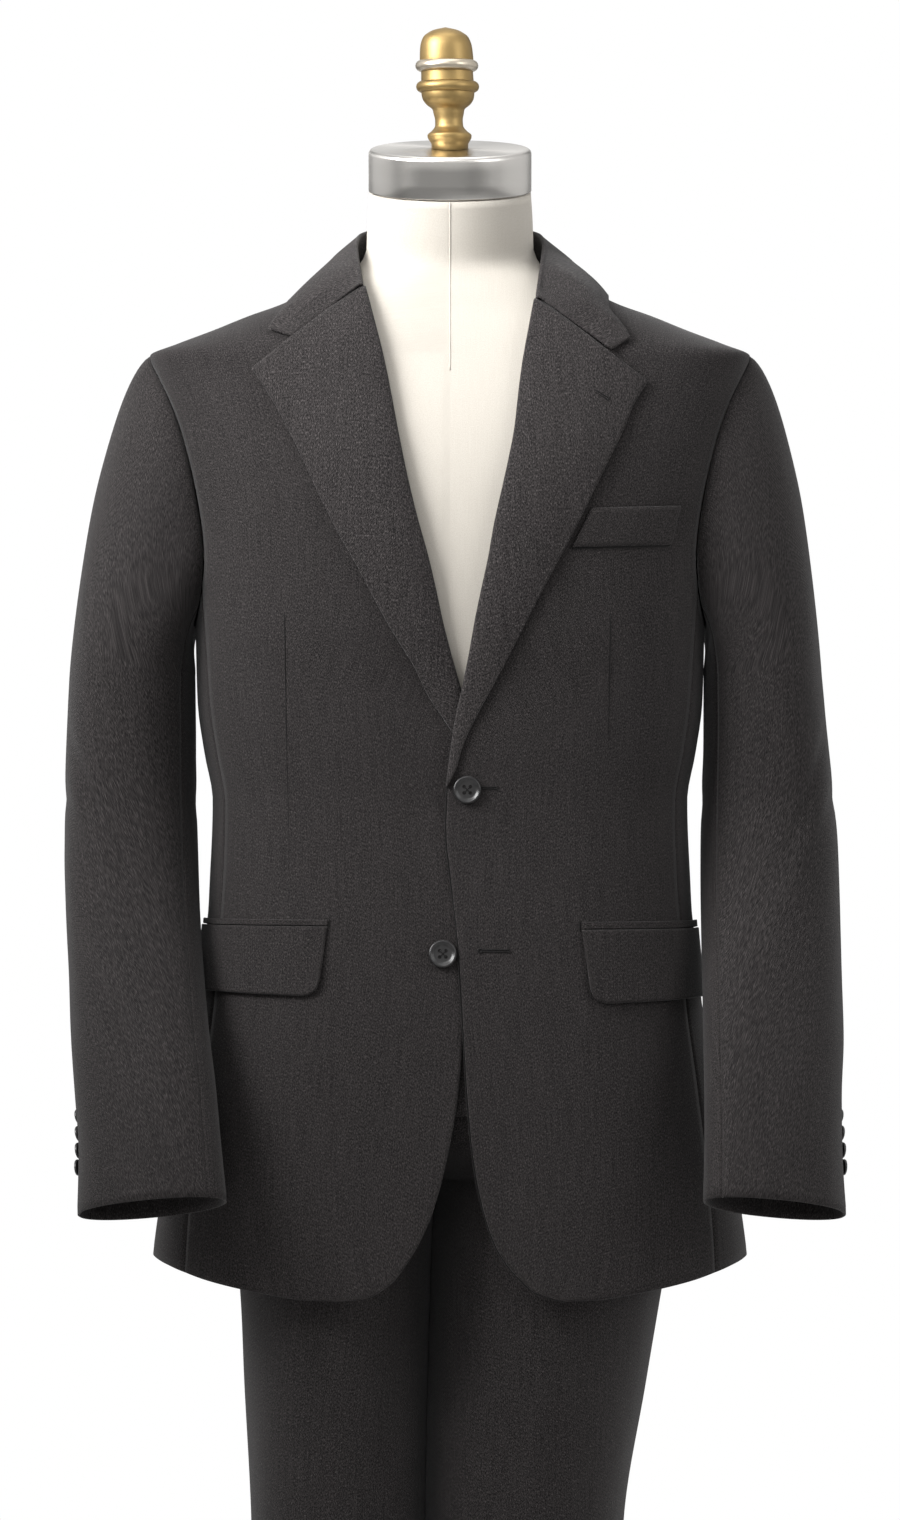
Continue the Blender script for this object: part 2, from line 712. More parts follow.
@dataclass(frozen=True)
class Finish:
    """A surface finish that makes one material."""

    name: str

    def fill(self, nodes: Nodes, shader: bpy.types.Node) -> None:
        """Sets the shader's sockets."""
        raise NotImplementedError

    def material(self) -> bpy.types.Material:
        """The finish's material, made once."""
        label = self.name + "_finish"
        if label in bpy.data.materials:
            return bpy.data.materials[label]
        made = bpy.data.materials.new(label)
        made.use_nodes = True
        nodes = Nodes(made.node_tree)
        self.fill(nodes, made.node_tree.nodes["Principled BSDF"])
        return made


@dataclass(frozen=True)
class Cloth(Finish):
    """Woven cloth."""

    dark: tuple[float, float, float]
    light: tuple[float, float, float]
    fleck: tuple[float, float, float]
    threads: float
    slub: float
    roughness: float
    sheen: float
    relief: float

    def fill(self, nodes: Nodes, shader: bpy.types.Node) -> None:
        """Links the weave's colour and height."""
        colours = {"Dark": rgba(self.dark), "Light": rgba(self.light), "Fleck": rgba(self.fleck)}
        inputs = {**colours, "Threads": self.threads, "Slub": self.slub}
        weave = nodes.add("ShaderNodeGroup", inputs, node_tree=heather_group()).outputs
        nodes.put(shader, {
            "Base Color": weave["Color"],
            "Normal": nodes.bump(weave["Height"], 0.35, self.relief),
            "Roughness": self.roughness,
            "Specular IOR Level": 0.10,
            "Sheen Weight": self.sheen,
            "Sheen Roughness": 0.45,
        })


@dataclass(frozen=True)
class Metal(Finish):
    """Metal with fine brushed lines or blotches of tarnish."""

    colour: tuple[float, float, float]
    shade: tuple[float, float, float]
    roughness: float
    scale: tuple[float, float, float]
    spread: float
    relief: float = 0.00005
    brushed: float = 0.0

    def fill(self, nodes: Nodes, shader: bpy.types.Node) -> None:
        """Colour, roughness and relief from stretched noise."""
        noise = nodes.grained(self.scale, 3.0)
        limits = {"To Min": self.roughness - self.spread, "To Max": self.roughness + self.spread}
        nodes.put(shader, {
            "Base Color": nodes.blend(noise, rgba(self.shade), rgba(self.colour)),
            "Roughness": nodes.remap(noise, limits),
            "Normal": nodes.bump(noise, 0.3, self.relief),
            "Metallic": 1.0,
        })
        if self.brushed:
            around = nodes.add("ShaderNodeTangent", direction_type="RADIAL", axis="Z").outputs[0]
            nodes.put(shader, {"Tangent": around, "Anisotropic": self.brushed})


@dataclass(frozen=True)
class Horn(Finish):
    """Dark polished horn-look resin with cloudy streaks."""

    dark: tuple[float, float, float]
    light: tuple[float, float, float]
    roughness: float

    def fill(self, nodes: Nodes, shader: bpy.types.Node) -> None:
        """Streaked colour under a soft gloss."""
        noise = nodes.grained((260.0, 260.0, 70.0), 4.0)
        share = nodes.remap(noise, {"From Min": 0.42, "From Max": 0.75})
        colour = nodes.blend(share, rgba(self.dark), rgba(self.light))
        nodes.put(shader, {"Base Color": colour, "Roughness": self.roughness, "Coat Weight": 0.08})


SUITING = Cloth(
    "suiting",
    dark=(0.0042, 0.0037, 0.0038),
    light=(0.0400, 0.0358, 0.0356),
    fleck=(0.105, 0.094, 0.092),
    threads=1350.0,
    slub=0.50,
    roughness=0.80,
    sheen=0.10,
    relief=0.0005,
)
# The lapels and the collar show the weave a little larger and lighter
TURNED_OUT = Cloth(
    "suiting_turned_out",
    dark=(0.0048, 0.0042, 0.0043),
    light=(0.0465, 0.0417, 0.0415),
    fleck=(0.125, 0.112, 0.110),
    threads=1150.0,
    slub=0.55,
    roughness=0.80,
    sheen=0.10,
    relief=0.0006,
)
THREAD = Cloth(
    "thread",
    dark=(0.005, 0.0046, 0.0046),
    light=(0.011, 0.010, 0.010),
    fleck=(0.03, 0.03, 0.03),
    threads=2500.0,
    slub=0.2,
    roughness=0.6,
    sheen=0.1,
    relief=0.0001,
)
LINEN = Cloth(
    "linen",
    dark=(0.505, 0.468, 0.414),
    light=(0.585, 0.552, 0.498),
    fleck=(0.43, 0.38, 0.31),
    threads=2000.0,
    slub=0.30,
    roughness=0.9,
    sheen=0.05,
    relief=0.0003,
)
STEEL = Metal(
    "brushed_steel",
    colour=(0.63, 0.61, 0.58),
    shade=(0.59, 0.57, 0.54),
    roughness=0.26,
    scale=(14.0, 14.0, 900.0),
    spread=0.015,
    relief=0.000004,
    brushed=0.85,
)
BRASS = Metal("antique_brass", (0.400, 0.282, 0.122), (0.270, 0.182, 0.070), 0.47, (70.0, 70.0, 50.0), 0.05)
SILVERED = Metal("silvered_ring", (0.66, 0.61, 0.52), (0.45, 0.38, 0.28), 0.36, (120.0, 120.0, 120.0), 0.06)
STAND = Metal("stand_metal", (0.36, 0.36, 0.36), (0.26, 0.26, 0.26), 0.38, (30.0, 30.0, 30.0), 0.06)
HORN = Horn("dark_horn", (0.008, 0.0075, 0.0078), (0.024, 0.022, 0.022), 0.36)


# ---- meshes


def mesh_piece(
    name: str,
    points: np.ndarray,
    faces: np.ndarray | list[tuple[int, ...]],
    finish: Finish,
    nodes: Sequence[str] = (),
    uv: np.ndarray | None = None,
) -> bpy.types.Object:
    """Makes a mesh piece that rides on the body and stands for the given nodes.

    Args:
        name: the piece's name.
        points: its points, one row each.
        faces: point numbers of each face.
        finish: its finish.
        nodes: solids that it replaces.
        uv: cloth coordinates of each point, in metres.

    Returns:
        The object.
    """
    points = np.asarray(points, float)
    listed = [tuple(int(i) for i in face) for face in faces]
    corners = np.array([(f[0], f[i], f[i + 1]) for f in listed for i in range(1, len(f) - 1)])
    if np.linalg.det(points[corners]).sum() < 0:
        listed = [tuple(reversed(face)) for face in listed]
    mesh = bpy.data.meshes.new(name)
    mesh.from_pydata(points.tolist(), [], listed)
    if uv is not None:
        layer = mesh.uv_layers.new(name="cloth")
        loops = np.empty(len(mesh.loops), np.int32)
        mesh.loops.foreach_get("vertex_index", loops)
        layer.data.foreach_set("uv", np.asarray(uv, np.float32)[loops].ravel())
    mesh.materials.append(finish.material())
    mesh.polygons.foreach_set("use_smooth", np.ones(len(mesh.polygons), bool))
    mesh.update()
    made = bpy.data.objects.new(name, mesh)
    bpy.context.scene.collection.objects.link(made)
    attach(made, "root")
    if nodes:
        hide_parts(*nodes)
    return made


def shell(
    name: str,
    outer: np.ndarray,
    inner: np.ndarray,
    node: str,
    held: str = "hung",
    rests_on: Sequence[str] = (),
    finish: Finish = SUITING,
    grain: float = 0.0,
) -> bpy.types.Object:
    """Closed cloth shell between two fine grids, its edges rounded over.

    Args:
        name: the piece's name.
        outer: outer face's points.
        inner: inner face's points.
        node: the solid it replaces.
        held: how the cloth is held.
        rests_on: what it lies on.
        finish: its finish.
        grain: degrees that the cloth's grain is turned.
    """
    rows, columns = outer.shape[:2]
    thickness = float(np.mean(np.linalg.norm(outer - inner, axis=-1)))
    middle = (outer + inner) / 2
    outer, inner = (drawn_in(face, thickness * RIM_SHARE) for face in (outer, inner))
    count = rows * columns
    index = np.arange(count).reshape(rows, columns)
    face = np.stack([index[:-1, :-1], index[:-1, 1:], index[1:, 1:], index[1:, :-1]], axis=-1).reshape(-1, 4)
    rim = np.concatenate([index[0, :-1], index[:-1, -1], index[-1, :0:-1], index[:0:-1, 0]])
    edge = 2 * count + np.arange(len(rim))
    after, edge_after = np.roll(rim, -1), np.roll(edge, -1)
    faces = np.concatenate(
        [
            face,
            face[:, ::-1] + count,
            np.stack([after, rim, edge, edge_after], axis=-1),
            np.stack([edge_after, edge, rim + count, after + count], axis=-1),
        ]
    )
    u, v = lengths(middle)
    turn = math.radians(grain)
    cosine, sine = math.cos(turn), math.sin(turn)
    flat = np.stack([u * cosine - v * sine, u * sine + v * cosine], axis=-1)
    flat = flat.reshape(-1, 2) + np.array([hash_shift(name), hash_shift(name[::-1])])
    points = np.concatenate([outer.reshape(-1, 3), inner.reshape(-1, 3), middle.reshape(-1, 3)[rim]])
    uv = np.concatenate([flat, flat, flat[rim]])
    made = mesh_piece(name, points, faces, finish, (node,), uv)
    rising, falling = middle[1:, 1:] - middle[:-1, :-1], middle[1:, :-1] - middle[:-1, 1:]
    area = float(np.linalg.norm(np.cross(rising, falling), axis=-1).sum() / 2)
    size = tuple(max(NARROWEST_SHEET, round(float(side), 3)) for side in (u[:, -1].max(), v[-1].max()))
    area = round(min(area, size[0] * size[1]), 4)
    return made


def hash_shift(name: str) -> float:
    """A fixed shift for each name, so that neighbouring pieces don't share their streaks."""
    return sum((i + 3) * ord(letter) for i, letter in enumerate(name)) % 97 / 10.0


def bead(name: str, path: np.ndarray, normal: np.ndarray, radius: float, finish: Finish) -> bpy.types.Object:
    """Thin round thread or lip along a path that lies on a surface.

    Args:
        name: the piece's name.
        path: points along it.
        normal: the surface's direction at each point.
        radius: its half width.
        finish: its finish.
    """
    ahead = unit(np.gradient(path, axis=0))
    side = unit(np.cross(ahead, normal))
    turn = np.arange(8) * 2 * np.pi / 8
    wide, high = (np.cos(turn) * radius)[None, :, None], (np.sin(turn) * radius * 0.8)[None, :, None]
    return lathe(name, path[:, None] + side[:, None] * wide + normal[:, None] * high, finish)


def lathe(
    name: str, rings: np.ndarray, finish: Finish, nodes: Sequence[str] = ()
) -> bpy.types.Object:
    """Closed piece through rings of points, with cloth coordinates round and along it."""
    rings = np.asarray(rings, float)
    count, around = rings.shape[:2]
    index = np.arange(count * around).reshape(count, around)
    after = np.roll(index, -1, axis=1)
    quads = np.stack([index[:-1], after[:-1], after[1:], index[1:]], axis=-1).reshape(-1, 4)
    points = np.concatenate([rings.reshape(-1, 3), rings[:1].mean(1), rings[-1:].mean(1)])
    low, high = count * around, count * around + 1
    faces = [tuple(face) for face in quads]
    faces += [(low, after[0, j], index[0, j]) for j in range(around)]
    faces += [(high, index[-1, j], after[-1, j]) for j in range(around)]
    u, v = lengths(rings)
    uv = np.concatenate([np.stack([u, v], axis=-1).reshape(-1, 2), [[0.0, 0.0], [0.0, float(v[-1].mean())]]])
    return mesh_piece(name, points, faces, finish, nodes, uv)


def circle(radius: float, z: float, around: int, centre: tuple[float, float] = (0.0, 0.0)) -> np.ndarray:
    """Level ring of points that starts at the front."""
    turn = np.arange(around) * 2 * np.pi / around
    flat = np.stack([centre[0] + radius * np.sin(turn), centre[1] - radius * np.cos(turn)], axis=-1)
    return np.concatenate([flat, np.full((around, 1), float(z))], axis=1)


# ---- jacket


def underlap(side: Side, across: np.ndarray, z: np.ndarray) -> np.ndarray:
    """How far the right front is pressed in near the centre, where the left one laps over it."""
    if side is Side.LEFT:
        return 0.0 * across
    return -column(UNDERLAP, 1, z) * (1 - ramp(across, 0.004, 0.075))


def armhole_at(turns: np.ndarray) -> np.ndarray:
    """Angle and height of the armhole at these turns."""
    rows = np.array(ARMHOLE)
    ends = np.concatenate([rows[-3:-1] - [360, 0, 0], rows, rows[1:3] + [360, 0, 0]])
    return np.stack([smooth_through(ends[:, 0], ends[:, n], turns) for n in (1, 2)], axis=-1)


def side_seam(number: int, count: int) -> np.ndarray:
    """Front or back seam of the side panel from the hem up to the armhole."""
    share = np.linspace(0, 1, count)
    theta = column(SIDE_SEAMS, 1 + number, share)
    low = column(HEM, 1, theta[0])
    return np.stack([theta, low + (SIDE_SEAM_TOPS[number] - low) * share], axis=-1)


def hem_line(start: float, end: float, shares: np.ndarray) -> np.ndarray:
    """Hem between two angles."""
    theta = start + (end - start) * np.asarray(shares)
    return np.stack([theta, column(HEM, 1, theta)], axis=-1)


def seam_and_armhole(number: int, start: float, end: float, seam_rows: int, arm_rows: int) -> np.ndarray:
    """Border of a front or back on the arm's side: side seam, then armhole, then shoulder tip."""
    arm = armhole_at(np.linspace(start, end, arm_rows + 1))
    arm[-1] = (SHOULDER_ANGLE, SHOULDER_TIP_Z)
    border = np.concatenate([side_seam(number, seam_rows), arm[1:]])
    border[seam_rows - 1] = arm[0]
    return border


FRONT_CREASES = (
    Crease(0.30, 0.30, 0.30, 0.050, 86, 0.0009),
    Crease(0.55, 0.22, 0.26, 0.060, 94, -0.0008),
    Crease(0.16, 0.72, 0.13, 0.030, 70, -0.0009),
    Crease(0.24, 0.80, 0.10, 0.026, 78, 0.0008),
    Crease(0.50, 0.55, 0.12, 0.050, 12, -0.0006),
)
BACK_CREASES = (
    Crease(0.20, 0.78, 0.15, 0.030, 80, -0.0012),
    Crease(0.30, 0.84, 0.12, 0.028, 84, 0.0009),
    Crease(0.62, 0.50, 0.16, 0.040, 8, -0.0012),
    Crease(0.50, 0.45, 0.13, 0.034, 2, 0.0010),
    Crease(0.40, 0.22, 0.24, 0.060, 92, 0.0010),
)


@dataclass
class Jacket:
    """Fronts, side panels, backs, lapels, collar, sleeves and pockets."""

    refine: int = 5

    def build(self) -> None:
        """Makes every jacket piece."""
        for side in Side:
            self.front(side)
            self.side_panel(side)
            self.back(side)
            self.lapel(side)
            self.pocket(side)
            Sleeve(side).build()
        self.collar()
        self.welt()
        Trimmings().build()

    def panel(
        self,
        name: str,
        side: Side,
        grid: np.ndarray,
        lift: Callable[[np.ndarray, np.ndarray], np.ndarray] | None = None,
        creases: Sequence[Crease] = (),
    ) -> None:
        """Cloth shell over a grid of angles and heights of the torso."""
        surface, normal = torso_at(grid)
        rise = soft_rise(surface, creases, 0.03, 0.0002)
        if lift:
            rise = rise + lift(surface[..., 0], grid[..., 1])
        hung_wall(name, side, surface + normal * rise[..., None], normal, JACKET_WALL, ("form_torso",))

    def front(self, side: Side) -> None:
        """Front from the side seam and armhole to the front edge, roll line and neck."""
        columns = 10
        left = seam_and_armhole(0, FRONT_SEAM_TURN, 0, 12, 10)
        low_shares = np.array([0, 0.05, 0.1, 0.16, 0.24, 0.34, 0.46, 0.58, 0.7, 0.82, 0.92, 1.0])
        low = along(EDGE[side.value], low_shares)
        high = along(ROLL[side.value], np.linspace(0, 1, 9))[1:]
        neck = np.array([(75.0, 1.4395), (SHOULDER_ANGLE, NECK_POINT_Z)])
        right = np.concatenate([on_front(low), on_front(high), neck])
        shares = 1 - (1 - np.linspace(0, 1, columns)) ** 1.3
        bottom = hem_line(left[0, 0], right[0, 0], shares)
        bottom[0], bottom[-1] = left[0], right[0]
        heights = SHOULDER_TIP_Z + (NECK_POINT_Z - SHOULDER_TIP_Z) * shares
        top = np.stack([np.full(columns, SHOULDER_ANGLE), heights], axis=-1)
        grid = finer(patch(left, right, bottom, top, shares), self.refine, self.refine)
        self.panel("front_" + side.value, side, grid, partial(underlap, side), FRONT_CREASES)

    def side_panel(self, side: Side) -> None:
        """Panel under the arm."""
        rows, columns = 12, 7
        left, right = side_seam(0, rows), side_seam(1, rows)
        top = armhole_at(np.linspace(FRONT_SEAM_TURN, BACK_SEAM_TURN, columns))
        left[-1], right[-1] = top[0], top[-1]
        bottom = hem_line(left[0, 0], right[0, 0], np.linspace(0, 1, columns))
        grid = finer(patch(left, right, bottom, top), self.refine, self.refine)
        self.panel("side_" + side.value, side, grid, None, (Crease(0.5, 0.55, 0.09, 0.03, 4, -0.0009),))

    def back(self, side: Side) -> None:
        """Back from the side seam to the centre seam; the right one runs on under the left at the vent."""
        columns = 9
        left = seam_and_armhole(1, BACK_SEAM_TURN, 360, 12, 9)
        stop = 180.0 if side is Side.LEFT else 180.0 - math.degrees(0.008 / 0.1)
        heights = np.linspace(HEM[-1][1], 1.4495, len(left) - 3)
        centre = np.stack([np.full(len(heights), stop), heights], axis=-1)
        neck = np.array([(150.0, 1.4493), (118.0, 1.4482), (SHOULDER_ANGLE, NECK_POINT_Z)])
        right = np.concatenate([centre, neck])
        bottom = hem_line(left[0, 0], stop, np.linspace(0, 1, columns))
        heights = np.linspace(SHOULDER_TIP_Z, NECK_POINT_Z, columns)
        top = np.stack([np.full(columns, SHOULDER_ANGLE), heights], axis=-1)
        grid = finer(patch(left, right, bottom, top), self.refine, self.refine)
        if side is Side.LEFT:
            self.panel("back_left", side, grid, None, BACK_CREASES)
            return
        z = grid[:, -1, 1]
        at_centre = np.arange(len(grid)) <= (len(centre) - 1) * self.refine
        below = 1 - ramp(z, VENT_TOP_Z - 0.02, VENT_TOP_Z + 0.004)
        reach = SEAM_LAP_BACK + (VENT_LAP - SEAM_LAP_BACK) * below
        radius = np.linalg.norm(torso(180.0, z)[:, :2], axis=-1)
        near = np.where(at_centre, 180 + np.degrees(0.0004 / radius), grid[:, -1, 0] + 0.4)
        far = np.where(at_centre, 180 + np.degrees(reach / radius), grid[:, -1, 0] + 0.8)
        shares = (0.0, 0.34, 0.67, 1.0)
        more = np.stack([np.stack([near + (far - near) * share, z], axis=-1) for share in shares], axis=1)
        wide = np.concatenate([grid, more], axis=1)
        step = -(JACKET_WALL + 0.0007) * at_centre

        def lift(across: np.ndarray, _: np.ndarray) -> np.ndarray:
            rise = np.zeros(across.shape)
            rise[:, -len(shares) :] = step[:, None]
            return rise

        self.panel("back_right", side, wide, lift, BACK_CREASES)

    def lapel(self, side: Side) -> None:
        """Lapel that wraps the front's edge at the roll line and lies back over the front."""
        rows, key = 16, side.value
        share = np.linspace(0, 1, rows)
        inner, outer = along(ROLL[key], share), along(LAPEL[key], share)
        across = np.array([0.0, 0.0, 0.0, 0.06, 0.2, 0.42, 0.66, 0.86, 1.0])
        lift = np.array([-0.0012, -0.0002, 0.0012, 0.0021, 0.0029, 0.0033, 0.0032, 0.0027, 0.0023])
        beyond = np.array([-0.0006, -0.0011, -0.0006, 0, 0, 0, 0, 0, 0])
        step = outer - inner
        direction = unit(step)
        outward = np.array([1.0, 0.0]) * beyond[None, :, None]
        flat = inner[:, None] + step[:, None] * across[None, :, None] + outward
        surface, normal = torso_at(on_front(flat))
        base = underlap(side, flat[..., 0], flat[..., 1])
        span = np.linalg.norm(step, axis=-1)[:, None]
        swell = 1 + 0.9 * ramp(share, 0.04, 0.30) * ramp(share, 0.98, 0.82)
        fullness = np.clip(span / 0.05, 0.35, 1.0) * swell[:, None]
        full = LAPEL_FLAT + (lift - LAPEL_FLAT) * fullness
        height = np.where(lift >= LAPEL_FLAT, full, lift[None] * np.ones_like(span))
        under = surface + normal * (base + height)[..., None]
        lean = np.array([3.0, 3.0, 1.0, 0, 0, 0, 0, 0, 0])
        away = np.stack([-direction[:, 0], np.zeros(rows), -direction[:, 1]], axis=-1)
        upper = under + unit(normal + away[:, None, :] * lean[None, :, None]) * LAPEL_WALL
        faces = (side.place(finer(face, 6, 5)) for face in (drawn_in(upper, 0.0001), under))
        name = "lapel_" + key
        shell(name + "_cloth", *faces, name, "folded", ("front_" + key,), TURNED_OUT, LAPEL_GRAIN)

    def pocket(self, side: Side) -> None:
        """Flap hanging from a narrow jet, with bar tacks at the jet's ends."""
        front, back, jet_top, top, bottom = FLAPS[side.value]
        jet = ((front, top + 0.0004), (back, top + 0.0004), (back, jet_top), (front, jet_top))
        self.strip("pocket_jet_" + side.value, side, jet, 2, 9, 0.0010, 0.0014, grain=90.0)
        flap = ((front + 1.2, bottom), (back - 1.0, bottom + 0.004), (back, top), (front, top))
        self.strip("pocket_flap_" + side.value, side, flap, 4, 9, 0.0012, 0.0020, corner=0.011, flare=0.0016)

    def welt(self) -> None:
        """Slanted chest welt on the wearer's left."""
        self.strip("chest_welt", Side.LEFT, on_front(np.array(WELT)), 2, 6, 0.0008, 0.0014)

    def strip(
        self,
        name: str,
        side: Side,
        corners: Sequence[Sequence[float]] | np.ndarray,
        rows: int,
        columns: int,
        lift: float,
        thickness: float,
        corner: float = 0.0,
        grain: float = 0.0,
        flare: float = 0.0,
    ) -> None:
        """Strip lying on a panel between four corners.

        Args:
            name: its solid.
            side: its side.
            corners: low front, low back, high back and high front corner, by angle and height.
            rows: rows of the solid's grid.
            columns: columns of the solid's grid.
            lift: how far it lies off the panel.
            thickness: its thickness.
            corner: radius of its low front corner, as a height.
            grain: degrees that the cloth's grain is turned.
            flare: how far its lower edge stands off the cloth.
        """
        low_start, low_end, high_end, high_start = (np.array(part, float) for part in corners)
        over = np.linspace(0, 1, (columns - 1) * 8 + 1)[None, :, None]
        up = np.linspace(0, 1, (rows - 1) * 8 + 1)[:, None, None]
        short = np.clip((CORNER_SHARE - over) / CORNER_SHARE, 0, 1)
        fall = corner * (1 - np.sqrt(np.clip(1 - short**2, 0, 1)))
        low_line = low_start * (1 - over) + low_end * over + fall * np.array([0.0, 1.0])
        grid = low_line * (1 - up) + (high_start * (1 - over) + high_end * over) * up
        surface, normal = torso_at(grid)
        off = lift + flare * (1 - up) ** 2
        faces = (side.place(surface + normal * height) for height in (off + thickness, off))
        shell(name + "_cloth", *faces, name, "laid", ("front_" + side.value,), grain=grain)

    def collar(self) -> None:
        """One folded strip round the neck."""
        left, right = self.collar_half(Side.LEFT), self.collar_half(Side.RIGHT)
        sections = np.concatenate([right, left[::-1][1:]])
        middle = finer_rows(finer_sections(sections, 6), 6)
        normal = grid_normal(middle)
        outer, inner = middle + normal * LAPEL_WALL / 2, middle - normal * LAPEL_WALL / 2
        shell("collar_cloth", outer, inner, "collar", "folded", ("form_torso",), TURNED_OUT, 90.0)

    def collar_half(self, side: Side) -> np.ndarray:
        """Sections from the front end to the centre back, each from the foot over the fold to the edge."""
        gorge = np.array(ROLL[side.value][-1]) - (0.0, 0.0006)
        tip, point, shoulder = (np.array(part) for part in NOTCH[side.value])
        shares = np.array([0.0, 0.06, 0.13, 0.22, 0.32, 0.42, 0.5, 0.58, 0.68, 0.8, 0.9, 1.0])
        gorge_place, point_place = on_front(gorge), on_front(point)
        gorge_normal = torso_normal(*gorge_place)
        start = torso(*gorge_place) + gorge_normal * 0.0040
        fold_rows = np.concatenate([[[0.0, *start]], np.array(FOLD)])
        fold = np.stack([column(fold_rows, number, shares) for number in (1, 2, 3)], axis=-1)
        feet = (
            (0.00, gorge_place[0], gorge_place[1] + 0.0012),
            (0.22, 75.0, 1.4424),
            (0.42, 92.0, NECK_POINT_Z + 0.0022),
            (0.60, 118.0, 1.4500),
            (0.80, 150.0, 1.4510),
            (1.00, 180.0, 1.4512),
        )
        foot_theta, foot_z = column(feet, 1, shares), column(feet, 2, shares)
        foot = torso(foot_theta, foot_z) - torso_normal(foot_theta, foot_z) * 0.0009
        straight = [on_front(point + (shoulder - point) * part) for part in (0.33, 0.67)]
        edges = (
            (0.00, *point_place),
            (0.12, *straight[0]),
            (0.24, *straight[1]),
            (0.36, 90.0, shoulder[1] - 0.0010),
            (0.55, 112.0, shoulder[1] + 0.0040),
            (0.75, 145.0, 1.4330),
            (1.00, 180.0, 1.4330),
        )
        theta, z = column(edges, 1, shares), column(edges, 2, shares)
        out = torso_normal(theta, z)
        off = smooth_through((0.0, 0.24, 0.38, 1.0), (0.0030, 0.0029, 0.0019, 0.0019), shares)
        edge = torso(theta, z) + out * off[:, None]
        sections = []
        bulges = ((0.4, 0.0050), (0.78, 0.0032))
        for i in range(len(shares)):
            level = unit((edge[i] - foot[i]) * (1, 1, 0))
            lean = unit(level * 0.8 + out[i] * 0.6)
            inside, outside = (fold[i] + level * step - (0, 0, 0.0011) for step in (-0.0013, 0.0013))
            if i == 0:
                inside, outside = fold[i] - gorge_normal * 0.0012 - level * 0.0006, fold[i] + level * 0.0016
            stand = foot[i] + (inside - foot[i]) * 0.55
            fall = [outside + (edge[i] - outside) * part + lean * bulge for part, bulge in bulges]
            if i == 0:
                spots = on_front(np.array([gorge + (tip - gorge) * 0.5, tip - (0.0, 0.0006)]))
                surface, normal = torso_at(spots)
                fall = list(surface + normal * 0.0036)
            sections.append([foot[i], stand, inside, fold[i], outside, *fall, edge[i]])
        return side.place(np.array(sections))


def finer_sections(sections: np.ndarray, times: int) -> np.ndarray:
    """More points along each section: straight between them at the collar's ends, curved further in."""
    curved = np.swapaxes(finer_rows(np.swapaxes(sections, 0, 1), times), 0, 1)
    places = np.linspace(0, sections.shape[1] - 1, curved.shape[1])
    index = np.clip(np.floor(places).astype(int), 0, sections.shape[1] - 2)
    share = (places - index)[None, :, None]
    plain = sections[:, index] * (1 - share) + sections[:, index + 1] * share
    number = np.arange(len(sections))
    curve = ramp(np.minimum(number, number[::-1]), 0.0, 2.0)[:, None, None]
    return plain * (1 - curve) + curved * curve


def soft_rise(grid: np.ndarray, creases: Sequence[Crease], within: float, roll: float) -> np.ndarray:
    """How far the cloth rises over a grid.

    Args:
        grid: the cloth's points.
        creases: its creases.
        within: distance from the border in which they fade out.
        roll: how far the cloth turns in at its seams, fading as exp(-distance / ROLL_REACH).

    Returns:
        The rise of each point.
    """
    u, v = lengths(grid)
    rise = sum((crease.lift(u, v) for crease in creases), np.zeros_like(u))
    near = np.minimum(np.minimum(u, u[:, -1:] - u), np.minimum(v, v[-1:] - v))
    return rise * ramp(near, 0.0, within) - roll * np.exp(-near / ROLL_REACH)


def hung_wall(
    node: str, side: Side, outer: np.ndarray, normal: np.ndarray, thickness: float, rests_on: Sequence[str]
) -> None:
    """Hung shell inward from its outer face, lapping a little past its seam lines."""
    faces = (side.place(drawn_in(face, -SEAM_LAP)) for face in (outer, outer - normal * thickness))
    shell(node + "_cloth", *faces, node, "hung", rests_on)


SLEEVE_CREASES = (
    Crease(0.55, 0.42, 0.055, 0.018, 18, -0.0014),
    Crease(0.42, 0.47, 0.050, 0.016, -14, -0.0012),
    Crease(0.62, 0.52, 0.045, 0.018, 25, 0.0009),
    Crease(0.30, 0.80, 0.120, 0.030, 84, 0.0010),
    Crease(0.70, 0.75, 0.140, 0.032, 96, -0.0010),
    Crease(0.50, 0.20, 0.140, 0.040, 86, 0.0008),
)


